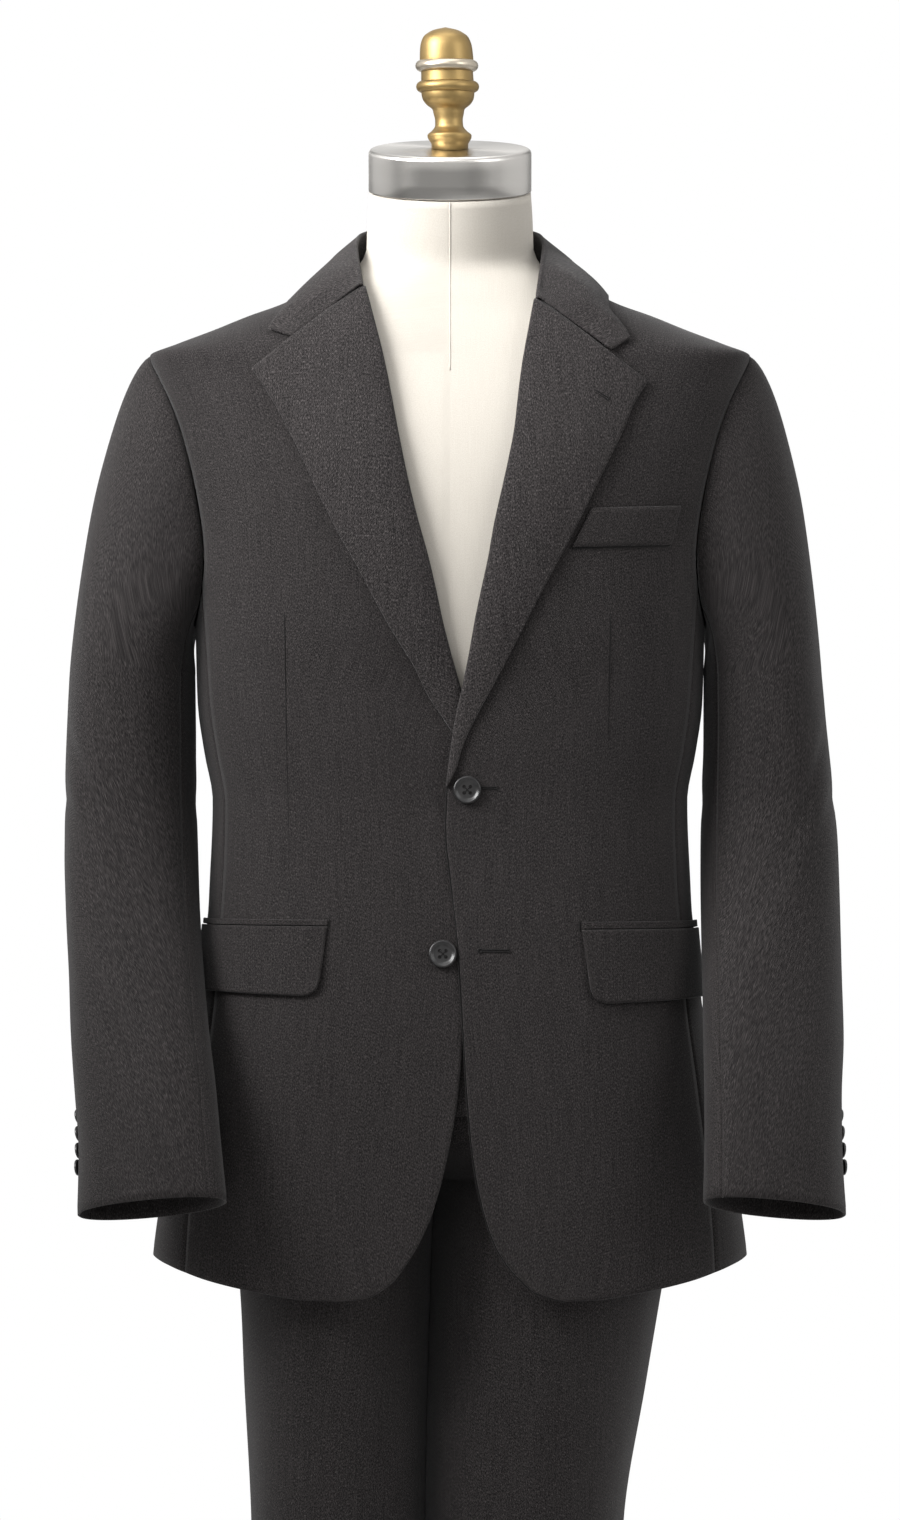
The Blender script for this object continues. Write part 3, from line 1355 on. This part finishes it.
@dataclass
class Sleeve:
    """Two-piece sleeve with its vent buttons."""

    side: Side

    def row(self, z: np.ndarray) -> dict[str, np.ndarray]:
        """Section values at a height of the sleeve's middle."""
        rows = np.array(SLEEVE)[::-1]
        inner, outer = (1, 2) if self.side is Side.LEFT else (3, 4)
        numbers = {"inner": inner, "outer": outer, "y": 5, "depth": 6, "shear": 7, "tilt": 8}
        return {key: smooth_through(rows[:, 0], rows[:, n], z) for key, n in numbers.items()}

    def tube(self, turn: np.ndarray, z: np.ndarray) -> np.ndarray:
        """Points below the armhole: turn 0 outside, 90 in front, 180 inside."""
        row, angle = self.row(z), np.radians(turn)
        middle, half = (row["inner"] + row["outer"]) / 2, (row["outer"] - row["inner"]) / 2
        cosine, sine = np.cos(angle), np.sin(angle)
        across = half * np.sign(cosine) * np.abs(cosine) ** SLEEVE_POWER
        depth = -row["depth"] * np.sign(sine) * np.abs(sine) ** SLEEVE_POWER + row["shear"] * across
        height = z - row["tilt"] * depth - 0.05 * row["shear"] * across
        return np.stack([middle + across, row["y"] + depth, height], axis=-1)

    def cap(self, turn: np.ndarray, share: np.ndarray) -> np.ndarray:
        """Points between the armhole, share 0, and the first level section, share 1."""
        surface, normal = torso_at(armhole_at(np.mod(turn, 360)))
        start = surface + normal * 0.0007
        end = self.tube(turn, np.full(np.shape(turn), SLEEVE[0][0]))
        angle = np.radians(turn)
        top, front = (1 + np.cos(angle)) / 2, np.sin(angle)
        drop = (start - end)[..., 2:]
        away = np.stack([0.004 + 0.024 * top, -0.011 * front, -0.008 - 0.012 * top], axis=-1)
        first, second = start + away, end + drop * np.array([-0.02, 0.0, 0.3])
        share = np.asarray(share)[..., None]
        rest = 1 - share
        return rest**3 * start + 3 * rest**2 * share * first + 3 * rest * share**2 * second + share**3 * end

    def build(self) -> None:
        """Makes the upper and under sleeve and the vent's buttons."""
        self.piece("sleeve_upper_", 2, 1, 64, SLEEVE_CREASES)
        self.piece("sleeve_under_", 1, 2, 48, SLEEVE_CREASES[:3])
        for i in range(4):
            self.button(i)

    def piece(self, name: str, first: int, second: int, columns: int, creases: Sequence[Crease]) -> None:
        """One piece of the sleeve between its two seams, from the armhole down."""
        caps = np.linspace(0, 1, 30)[:-1]
        heights = np.linspace(1.15, 0.776, 66)
        below = (SLEEVE[0][0] - heights) / (SLEEVE[0][0] - heights[-1])
        down = np.concatenate([caps * CAP_SHARE, CAP_SHARE + below * (1 - CAP_SHARE)])
        start, end = column(SLEEVE_SEAMS, first, down), column(SLEEVE_SEAMS, second, down)
        if first == 2:
            start = start - 360
        turn = start[:, None] + (end - start)[:, None] * np.linspace(0, 1, columns)[None]
        upper = self.cap(turn[: len(caps)], caps[:, None] * np.ones_like(turn[: len(caps)]))
        lower = self.tube(turn[len(caps) :], heights[:, None] * np.ones_like(turn[len(caps) :]))
        outer = np.concatenate([upper, lower])
        outer[0] += unit(outer[0] - outer[1]) * 0.0006
        normal = grid_normal(outer)
        angle = np.radians(turn)
        outwards = np.stack([np.cos(angle), -np.sin(angle), np.zeros_like(turn)], axis=-1)
        if (normal * outwards).sum() < 0:
            normal = -normal
        outer = outer + normal * soft_rise(outer, creases, 0.018, 0.0003)[..., None]
        hung_wall(name + self.side.value, self.side, outer, normal, JACKET_WALL, ())

    def button(self, number: int) -> None:
        """One vent button, level with the sleeve's surface beside the back seam."""
        z = LOWEST_SLEEVE_BUTTON_Z + SLEEVE_BUTTON_PITCH * number
        below = (SLEEVE[0][0] - z) / (SLEEVE[0][0] - SLEEVE[-1][0])
        turn = column(SLEEVE_SEAMS, 2, CAP_SHARE + below * (1 - CAP_SHARE)) - 360 + SLEEVE_BUTTON_TURN
        steps = ((0, 0), (1, 0), (0, 0.002))
        spot, ahead, above = (self.tube(np.asarray(turn + a), np.asarray(z + b)) for a, b in steps)
        normal = unit(np.cross(above - spot, ahead - spot))
        normal = normal if normal[0] > 0 else -normal
        node = "cuff_button_%s_%d" % (self.side.value, number + 1)
        Button(node, self.side.place(spot), self.side.place(normal), SLEEVE_BUTTON_RADIUS, 0.0022).build()


# Button: share of its radius, distance off the cloth, and share of its thickness added to that
BUTTON_SHANK = 0.0012
BUTTON_PROFILE = (
    (0.20, 0.0002, 0.0),
    (0.25, BUTTON_SHANK, 0.0),
    (0.84, BUTTON_SHANK, 0.0),
    (0.96, 0.0014, 0.15),
    (1.00, BUTTON_SHANK, 0.45),
    (0.98, BUTTON_SHANK, 0.80),
    (0.93, BUTTON_SHANK, 0.97),
    (0.88, BUTTON_SHANK, 1.0),
    (0.82, BUTTON_SHANK, 0.95),
    (0.75, BUTTON_SHANK, 0.78),
    (0.68, BUTTON_SHANK, 0.62),
    (0.55, BUTTON_SHANK, 0.56),
    (0.02, BUTTON_SHANK, 0.58),
)
# Lip of a hole: share of the hole's radius, and distance off the button's face
HOLE_PROFILE = ((1.25, -0.0002), (1.25, 0.0001), (1.0, 0.00012), (0.7, -0.0001))
# Half thicknesses of the worked buttonhole edges and the tacks
EDGE_THREAD, TACK_THREAD = 0.0006, 0.0007


@dataclass
class Button:
    """Round four-hole button with a raised rim, sewn on with crossed thread."""

    node: str
    centre: np.ndarray
    normal: np.ndarray
    radius: float
    thickness: float

    def axes(self) -> tuple[np.ndarray, np.ndarray, np.ndarray]:
        """Outward, sideways and upward directions."""
        normal = unit(np.asarray(self.normal, float))
        side = unit(np.cross(normal, (0.0, 0.0, 1.0)))
        return normal, side, np.cross(side, normal)

    def build(self) -> None:
        """Makes the turned body, the holes' dark wells and the thread."""
        normal, side, up = self.axes()
        turn = np.arange(40) * 2 * np.pi / 40
        spokes = np.cos(turn)[:, None] * side + np.sin(turn)[:, None] * up

        def turned(centre: np.ndarray, around: np.ndarray, profile: Sequence[Sequence[float]]) -> np.ndarray:
            return np.array([centre + around * share + normal * height for share, height in profile])

        profile = [(share, off + self.thickness * part) for share, off, part in BUTTON_PROFILE]
        body = turned(self.centre, spokes * self.radius, profile)
        lathe(self.node + "_body", body, HORN, (self.node,))
        face = self.centre + normal * (BUTTON_SHANK + self.thickness * 0.60)
        offset, well = self.radius * 0.22, self.radius * 0.105
        for i, (a, b) in enumerate(((-1, -1), (1, -1), (1, 1), (-1, 1))):
            spot = face + side * a * offset + up * b * offset
            lathe("%s_hole_%d" % (self.node, i + 1), turned(spot, spokes[::4] * well, HOLE_PROFILE), THREAD)
        share = np.linspace(0, 1, 9)[:, None]
        normals = np.repeat(normal[None], len(share), axis=0)
        for i, (a, b) in enumerate(((1, 1), (1, -1))):
            start, end = (face + way * (side * a + up * b) * offset for way in (-1, 1))
            path = start * (1 - share) + end * share + normal * (0.0003 * np.sin(np.pi * share))
            bead("%s_thread_%d" % (self.node, i + 1), path, normals, 0.00045, THREAD)


@dataclass
class Trimmings:
    """Front buttons, buttonholes, darts and tacks."""

    def build(self) -> None:
        """Makes them all."""
        for node, worn, across, z in FRONT_BUTTONS:
            side = Side(worn)
            surface, normal = torso_at(on_front((across, z)))
            centre = surface + normal * underlap(side, np.asarray(across), np.asarray(z))
            Button(node, side.place(centre), side.place(normal), BUTTON_RADIUS, 0.0034).build()
        self.buttonhole("buttonhole_upper", ((0.0190, 1.0702), (0.0330, 1.0702)), 0.0)
        self.buttonhole("buttonhole_lower", ((0.0212, 0.9562), (0.0415, 0.9560)), 0.0, keyhole=True)
        self.buttonhole("lapel_buttonhole", ((0.0935, 1.3530), (0.1105, 1.3430)), 0.0048)
        low, low_end, high_end = (np.array(WELT[number]) for number in (0, 1, 2))
        under = np.array([low, low_end]) - (0, 0.0004)
        beside = np.array([low_end, high_end]) + (0.0003, 0)
        self.line("welt_seam", Side.LEFT, under, TACK_THREAD, 0.0004)
        self.line("welt_end_seam", Side.LEFT, beside, 0.0005, 0.0004)
        edge = np.array(EDGE["left"]) - (0.0008, 0.0)
        self.line("front_edge_seam", Side.LEFT, edge, EDGE_THREAD, -0.0016)
        for side in Side:
            shift = (-0.0035 if side is Side.LEFT else 0.0, 0.0)
            dart = np.array([(0.1165, 1.1930), (0.1150, 1.1000), (0.1120, 0.9800)]) + shift
            self.line("dart_" + side.value, side, dart, 0.00050, -0.00005)
            front, _, jet_top, top, _ = FLAPS[side.value]
            spot = torso(front - 0.3, (jet_top + top) / 2)[0]
            tack = ((spot, top - 0.0005), (spot, jet_top + 0.0005))
            self.line("tack_" + side.value, side, tack, TACK_THREAD, 0.0004)

    def line(
        self, name: str, side: Side, path: Sequence[Sequence[float]] | np.ndarray, radius: float, lift: float
    ) -> None:
        """Thread or pressed seam along a path across the front."""
        surface, normal = torso_at(on_front(along(path, np.linspace(0, 1, 40))))
        bead(name, side.place(surface + normal * lift), side.place(normal), radius, THREAD)

    def buttonhole(
        self, name: str, ends: Sequence[Sequence[float]], lift: float, keyhole: bool = False
    ) -> None:
        """Two worked edges with a slit between them and a bar or an eye at the end."""
        start, end = np.array(ends[0]), np.array(ends[1])
        square = np.array([-(end - start)[1], (end - start)[0]]) / np.linalg.norm(end - start)
        for i, offset in enumerate((-0.0007, 0.0007)):
            edge = (start + square * offset, end + square * offset)
            self.line("%s_%d" % (name, i + 1), Side.LEFT, edge, EDGE_THREAD, lift + 0.0002)
        bar = (end - square * 0.0016, end + square * 0.0016)
        self.line(name + "_bar", Side.LEFT, bar, EDGE_THREAD, lift + 0.0003)
        if keyhole:
            turn = np.linspace(0, 2 * np.pi, 25)
            eye = start + 0.0014 * np.stack([np.cos(turn), np.sin(turn)], axis=-1)
            self.line(name + "_eye", Side.LEFT, eye, EDGE_THREAD, lift + 0.0003)


TROUSER_CREASES = (
    Crease(0.55, 0.62, 0.120, 0.030, 14, -0.0014),
    Crease(0.40, 0.66, 0.100, 0.028, -10, 0.0012),
    Crease(0.30, 0.35, 0.280, 0.045, 88, 0.0012),
    Crease(0.72, 0.30, 0.260, 0.045, 92, -0.0012),
    Crease(0.50, 0.08, 0.090, 0.030, 6, -0.0012),
)


@dataclass
class Trousers:
    """Fronts, backs, waistband and fly."""

    def build(self) -> None:
        """Makes every trouser piece."""
        for side in Side:
            self.piece("trouser_front_", side, True)
            self.piece("trouser_back_", side, False)
        self.waistband()
        self.fly()

    def row(self, side: Side, z: np.ndarray) -> tuple[np.ndarray, ...]:
        """Section values of one leg and half the hips at a height."""
        rows = np.array(TROUSERS)[::-1]
        outer, inner = (1, 3) if side is Side.LEFT else (2, 4)
        low = [smooth_through(rows[:, 0], rows[:, n], z) for n in (outer, inner, 5, 6)]
        ease = column(EASE, 2, z)
        hip = z >= FORK_TOP_Z
        width = np.where(hip, column(TORSO, 1, z) - ease, low[0])
        front = np.where(hip, column(TORSO, 2, z) - ease, low[2])
        back = np.where(hip, column(TORSO, 3, z) - ease, low[3])
        inner_x = np.where(hip, 0.0, low[1] - LEG_PRESS)
        leg = 1 - ramp(z, FORK_Z, FORK_TOP_Z)
        middle = (width + inner_x) / 2 * leg
        return inner_x, middle, width - middle, front, back, 2 / (SQUARENESS - 0.35 * leg), leg

    def piece(self, name: str, side: Side, is_front: bool) -> None:
        """Front or back of one leg from the waist down, between the inside and outside seams."""
        stops = (TROUSER_TOP_Z, FORK_TOP_Z, FORK_Z, TROUSER_HEM_Z)
        hips, fork, legs = (np.linspace(*stops[i : i + 2], rows) for i, rows in enumerate((20, 22, 90)))
        heights = np.concatenate([hips[:-1], fork[:-1], legs])
        columns = 50
        inner_x, middle, half, front, back, power, leg = (part[:, None] for part in self.row(side, heights))
        start = -np.arcsin(np.clip((middle - inner_x) / half, 0, 1) ** (1 / power))
        turn = start + (np.pi / 2 - start) * np.linspace(0, 1, columns)[None]
        sine, cosine = np.sin(turn), np.cos(turn)
        across = middle + half * np.sign(sine) * np.abs(sine) ** power
        crease = 0.0035 * leg * (1 - np.abs(sine)) ** 2
        depth = (front if is_front else back) * np.abs(cosine) ** power + crease
        outer = np.stack([across, -depth if is_front else depth, heights[:, None] + 0 * across], axis=-1)
        normal = grid_normal(outer)
        if np.mean(normal[..., 1]) * (-1 if is_front else 1) < 0:
            normal = -normal
        outer = outer + normal * soft_rise(outer, TROUSER_CREASES, 0.03, 0.0003)[..., None]
        hung_wall(name + side.value, side, outer, normal, TROUSER_WALL, ("form_torso",))

    def waistband(self) -> None:
        """Band round the waist."""
        theta = np.linspace(0.15, 359.85, 161)
        z = np.linspace(TROUSER_TOP_Z + 0.0004, TROUSER_TOP_Z + WAISTBAND_HEIGHT, 8)
        turn = np.where(theta > 180, 360 - theta, theta)
        base = torso(turn[None], z[:, None])
        base[..., 0] *= np.where(theta > 180, -1, 1)
        normal = unit(base * (1, 1, 0))
        outer = base - normal * column(EASE, 2, z)[:, None, None]
        inner = outer - normal * 0.0022
        shell("waistband_cloth", outer, inner, "waistband", "stretched", ("form_torso",), grain=90.0)

    def fly(self) -> None:
        """Fly facing on the wearer's left front."""
        rows = np.linspace(0.84, 0.99, 30)
        theta = np.linspace(1.5, 17.0, 12)[None] * ramp(rows, 0.815, 0.875)[:, None]
        base, normal = torso(theta, rows[:, None]), torso_normal(theta, rows[:, None] + 0 * theta)
        outer = base - normal * (column(EASE, 2, rows)[:, None, None] - 0.0015)
        shell("fly_cloth", outer, outer - normal * 0.0010, "fly", "laid", ("trouser_front_left",))


# ---- form and stand


def neck_centre(z: float) -> float:
    """Middle of the tilted neck at a height."""
    return (CAP_TOP_Z - z) * math.tan(CAP_TILT) + 0.0007


# Heights of the form's sections below the neck
FORM_HEIGHTS = (
    *(0.885, 0.92, 0.96, 1.0, 1.04, 1.08, 1.13, 1.18, 1.23, 1.28),
    *(1.32, 1.35, 1.368, 1.379, 1.39, 1.402, 1.414, 1.426, 1.437),
)
# Lower part of the cap's wall: how far in from its radius, and how far up
CAP_PROFILE = ((0.004, 0.0), (0.0008, 0.0), (0.0002, 0.0003), (0.0, 0.001), (0.0, 0.01), (0.0, 0.02))
CAP_ROUNDING = 0.004


@dataclass
class Form:
    """Linen torso and neck, cap, finial, pole and base."""

    nodes: dict[str, bpy.types.Object]
    around: int = 128

    def build(self) -> None:
        """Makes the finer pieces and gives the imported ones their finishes."""
        self.torso()
        self.cap()
        self.finial()
        for name in ("pole", "base", "pole_socket"):
            self.give(name, STAND)

    def give(self, name: str, finish: Finish) -> None:
        """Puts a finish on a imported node."""
        mesh = self.nodes[name].data
        mesh.materials.clear()
        mesh.materials.append(finish.material())

    def torso(self) -> None:
        """Linen body on the same sections as the solid, finer, with its centre seam."""
        theta = np.arange(self.around) * 360 / self.around
        turn = np.where(theta > 180, 360 - theta, theta)
        sign = np.where(theta > 180, -1.0, 1.0)
        rings: list[np.ndarray] = []

        def ring(z: float) -> np.ndarray:
            base = torso(turn, z) - torso_normal(turn, np.full(self.around, z)) * column(EASE, 1, z)
            base[:, 0] *= sign
            return base

        foot = ring(FORM_BOTTOM_Z + 0.012)
        for share, rise in ((0.86, 0.0), (0.95, 0.003), (0.99, 0.008)):
            low = foot.copy()
            low[:, :2] *= share
            low[:, 2] = FORM_BOTTOM_Z + rise
            rings.append(low)
        rings += [ring(z) for z in FORM_HEIGHTS]
        for z, radius in ((1.456, 0.0600), (1.476, 0.0593), (CAP_TOP_Z - CAP_HEIGHT - 0.0004, 0.0580)):
            level = circle(radius, 0.0, self.around)
            level[:, 2] = z + level[:, 1] * math.tan(CAP_TILT)
            level[:, 1] += neck_centre(z)
            rings.append(level)
        grid = finer(np.array(rings), 4, 1)
        made = lathe("form_linen", grid, LINEN, ("form_torso",))
        LOG.info("form: %d points", len(made.data.vertices))
        seam = grid[60:, 0]
        outward = unit(seam * (1, 1, 0) - (0, 0.01, 0))
        bead("form_centre_seam", seam + outward * 0.0001, outward, 0.0005, LINEN)

    def cap(self) -> None:
        """Tilted drum of brushed steel with a rounded upper edge."""
        axis = np.array([0.0, -math.sin(CAP_TILT), math.cos(CAP_TILT)])
        forward = np.array([0.0, -math.cos(CAP_TILT), -math.sin(CAP_TILT)])
        top = np.array([0.0, neck_centre(CAP_TOP_Z), CAP_TOP_Z])
        turn = np.arange(128) * 2 * np.pi / 128
        spokes = np.sin(turn)[:, None] * np.array([1.0, 0.0, 0.0]) + np.cos(turn)[:, None] * forward
        rings = [
            top - axis * (CAP_HEIGHT - rise) + spokes * (CAP_RADIUS - inset)
            for inset, rise in CAP_PROFILE
        ]
        for angle in np.linspace(0, math.pi / 2, 8):
            inset, drop = (CAP_ROUNDING * (1 - part) for part in (math.cos(angle), math.sin(angle)))
            rings.append(top - axis * drop + spokes * (CAP_RADIUS - inset))
        rings.append(top + spokes * (CAP_RADIUS - 0.006))
        lathe("neck_cap_steel", np.array(rings), STEEL, ("neck_cap",))

    def finial(self) -> None:
        """Turned brass knob on the cap, with a paler upper ring."""
        around, fine = 64, 4
        plain = [row for row in FINIAL if row[0] < 0.0195]
        radius, z = finer_rows(np.array([*plain, (0.0004, FINIAL_TOP_Z)]), fine).T
        turn = np.arange(around) * 2 * np.pi / around
        lean = -(z - CAP_TOP_Z) * math.tan(FINIAL_LEAN)
        across = lean[:, None] + radius[:, None] * np.sin(turn)
        rings = np.stack([across, -radius[:, None] * np.cos(turn), z[:, None] + 0 * turn], axis=-1)
        foot = rings[0].copy()
        foot[:, 2] = CAP_TOP_Z + 0.0003 + (foot[:, 1] - neck_centre(CAP_TOP_Z)) * math.tan(CAP_TILT)
        lathe("finial_brass", np.concatenate([foot[None], rings]), BRASS, ("finial",))
        self.knob_ring("finial_ring_upper", UPPER_RING_Z, SILVERED)
        self.knob_ring("finial_ring_lower", LOWER_RING_Z, BRASS)

    def knob_ring(self, name: str, height: float, finish: Finish, around: int = 96, tube: int = 16) -> None:
        """Round ring on the knob: circles of the tube's section, carried round the knob's axis."""
        angle = np.arange(tube) * 2 * np.pi / tube
        shift = -(height - CAP_TOP_Z) * math.tan(FINIAL_LEAN)
        rounds = zip(RING_RADIUS + RING_TUBE * np.cos(angle), height + RING_TUBE * np.sin(angle))
        rings = np.array([circle(wide, high, around, (shift, 0.0)) for wide, high in rounds])
        index = np.arange(tube * around).reshape(tube, around)
        right, above = np.roll(index, -1, axis=1), np.roll(index, -1, axis=0)
        faces = np.stack([index, right, np.roll(above, -1, axis=1), above], axis=-1).reshape(-1, 4)
        mesh_piece(name, rings.reshape(-1, 3), faces, finish)


# ---- studio


Place = tuple[float, float, float]
# Lights: name, place, width, power in watts, spread in degrees; all aim at the chest
LIGHTS = (
    ("key", (-2.7, -1.7, 2.75), 2.2, 66.0, 75.0),
    ("front", (-0.7, -2.6, 3.5), 1.6, 4.6, 75.0),
    ("fill", (2.6, -1.6, 2.3), 2.0, 34.0, 180.0),
    ("top", (0.0, -0.2, 4.2), 2.2, 34.0, 180.0),
    ("back_left", (-2.4, 3.0, 2.4), 2.0, 60.0, 180.0),
    ("back_right", (2.6, 2.6, 2.0), 2.0, 45.0, 180.0),
)
LIGHT_AIM = (0.0, 0.0, 1.45)
# Dark cards that only reflections show: name, place, width, shade
CARDS = (
    ("card_left", (-2.55, -0.45, 1.6), 0.50, 0.10),
    ("card_back_left", (-1.25, 2.4, 1.6), 0.95, 0.08),
    ("card_back_right", (1.25, 2.4, 1.6), 0.95, 0.05),
    ("card_right", (2.35, -0.75, 1.6), 0.30, 0.20),
    ("card_front_right", (1.45, -2.20, 1.6), 0.30, 0.02),
)
CARD_HALF_HEIGHT, FLAG_HALF_HEIGHT, FLAG_HALF_WIDTH = 1.4, 0.57, 1.5
FLOOR_HALF, FLOOR_SHADE = 5.8, 0.82
# Strength of the white surround as seen, as a light, and as mirrored
SEEN, LIT, MIRRORED = 1.0, 0.22, 0.78


@dataclass
class Studio:
    """Camera, soft light and pale floor."""

    def build(self) -> None:
        """Makes them."""
        self.camera()
        self.floor()
        self.world()
        for light in LIGHTS:
            self.area(*light)
        for card in CARDS:
            self.card(*card)
        self.flag()

    def camera(self) -> None:
        """Level camera in front, at the photograph's distance and height."""
        data = bpy.data.cameras.new("camera")
        data.sensor_fit = "AUTO"
        data.sensor_width = SENSOR_MM
        data.lens = SENSOR_MM * CAMERA_DISTANCE / VIEW_HEIGHT
        data.clip_end = 60.0
        made = bpy.data.objects.new("camera", data)
        made.location = (0.0, -CAMERA_DISTANCE, CAMERA_HEIGHT)
        made.rotation_euler = (math.pi / 2, 0.0, 0.0)
        bpy.context.scene.collection.objects.link(made)
        bpy.context.scene.camera = made

    def area(self, name: str, place: Place, size: float, power: float, spread: float) -> None:
        """Soft square light aimed at the chest; those behind the suit aren't mirrored in the metal."""
        data = bpy.data.lights.new(name, "AREA")
        data.shape, data.size, data.energy, data.spread = "SQUARE", size, power, math.radians(spread)
        made = bpy.data.objects.new(name, data)
        made.location = place
        made.visible_glossy = place[1] < 0.0
        away = np.array(place) - np.array(LIGHT_AIM)
        made.rotation_euler = (
            math.atan2(math.hypot(away[0], away[1]), away[2]),
            0.0,
            math.atan2(away[1], away[0]) + math.pi / 2,
        )
        bpy.context.scene.collection.objects.link(made)

    def board(self, name: str, middle: Place, aside: np.ndarray, up: np.ndarray) -> bpy.types.Object:
        """Flat rectangle from its middle and two half sides, kept out of the part."""
        corners = [np.array(middle) + a * aside + b * up for a, b in ((-1, -1), (1, -1), (1, 1), (-1, 1))]
        mesh = bpy.data.meshes.new(name)
        mesh.from_pydata([tuple(corner) for corner in corners], [], [(0, 1, 2, 3)])
        made = bpy.data.objects.new(name, mesh)
        bpy.context.scene.collection.objects.link(made)
        return made

    def paint(self, made: bpy.types.Object, name: str, shade: float, roughness: float) -> None:
        """Gives a board a plain grey."""
        material = bpy.data.materials.new(name)
        material.use_nodes = True
        shader = material.node_tree.nodes["Principled BSDF"]
        shader.inputs["Base Color"].default_value = rgba((shade,) * 3)
        shader.inputs["Roughness"].default_value = roughness
        made.data.materials.append(material)

    def card(self, name: str, place: Place, width: float, shade: float) -> None:
        """Dark upright card that only reflections show, for the bands on the steel."""
        aside = unit(np.array([place[1], -place[0], 0.0])) * width / 2
        made = self.board(name, place, aside, np.array([0.0, 0.0, CARD_HALF_HEIGHT]))
        self.paint(made, name + "_finish", shade, 1.0)
        made.visible_camera = made.visible_diffuse = made.visible_shadow = made.visible_transmission = False

    def flag(self) -> None:
        """Unseen board between the key light and the legs, so that the light falls off downwards."""
        aside = unit(np.array([-0.85, 1.35, 0.0])) * FLAG_HALF_WIDTH
        made = self.board("flag", (-1.35, -0.85, 1.15), aside, np.array([0.0, 0.0, FLAG_HALF_HEIGHT]))
        made.visible_camera = made.visible_diffuse = made.visible_glossy = made.visible_transmission = False

    def floor(self) -> None:
        """Plain pale floor."""
        half = np.eye(3) * FLOOR_HALF
        self.paint(self.board("floor", (0.0, 0.0, 0.0), half[0], half[1]), "floor_pale", FLOOR_SHADE, 0.9)

    def world(self) -> None:
        """White surround, dimmer as a light than as a backdrop."""
        world = bpy.data.worlds.new("surround")
        bpy.context.scene.world = world
        world.use_nodes = True
        tree = world.node_tree
        tree.nodes.clear()
        nodes = Nodes(tree)
        white = rgba((1.0, 1.0, 1.0))
        seen, lit, mirrored = (
            nodes.add("ShaderNodeBackground", {"Color": white, "Strength": strength}).outputs[0]
            for strength in (SEEN, LIT, MIRRORED)
        )
        path = nodes.add("ShaderNodeLightPath").outputs
        both = nodes.add("ShaderNodeMixShader", {0: path["Is Glossy Ray"], 1: lit, 2: mirrored}).outputs[0]
        mix = nodes.add("ShaderNodeMixShader", {0: path["Is Camera Ray"], 1: both, 2: seen}).outputs[0]
        nodes.add("ShaderNodeOutputWorld", {0: mix})
        bpy.context.scene.view_settings.view_transform = "Standard"


def main() -> None:
    """Builds the suit, the form and the studio in order."""
    logging.basicConfig(level=logging.INFO, format="%(name)s: %(message)s")
    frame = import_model()
    Studio().build()
    Jacket().build()
    LOG.info("jacket made")
    Trousers().build()
    LOG.info("trousers made")
    Form(frame["nodes"]).build()
    LOG.info("form made")


if __name__ == "__main__":
    main()
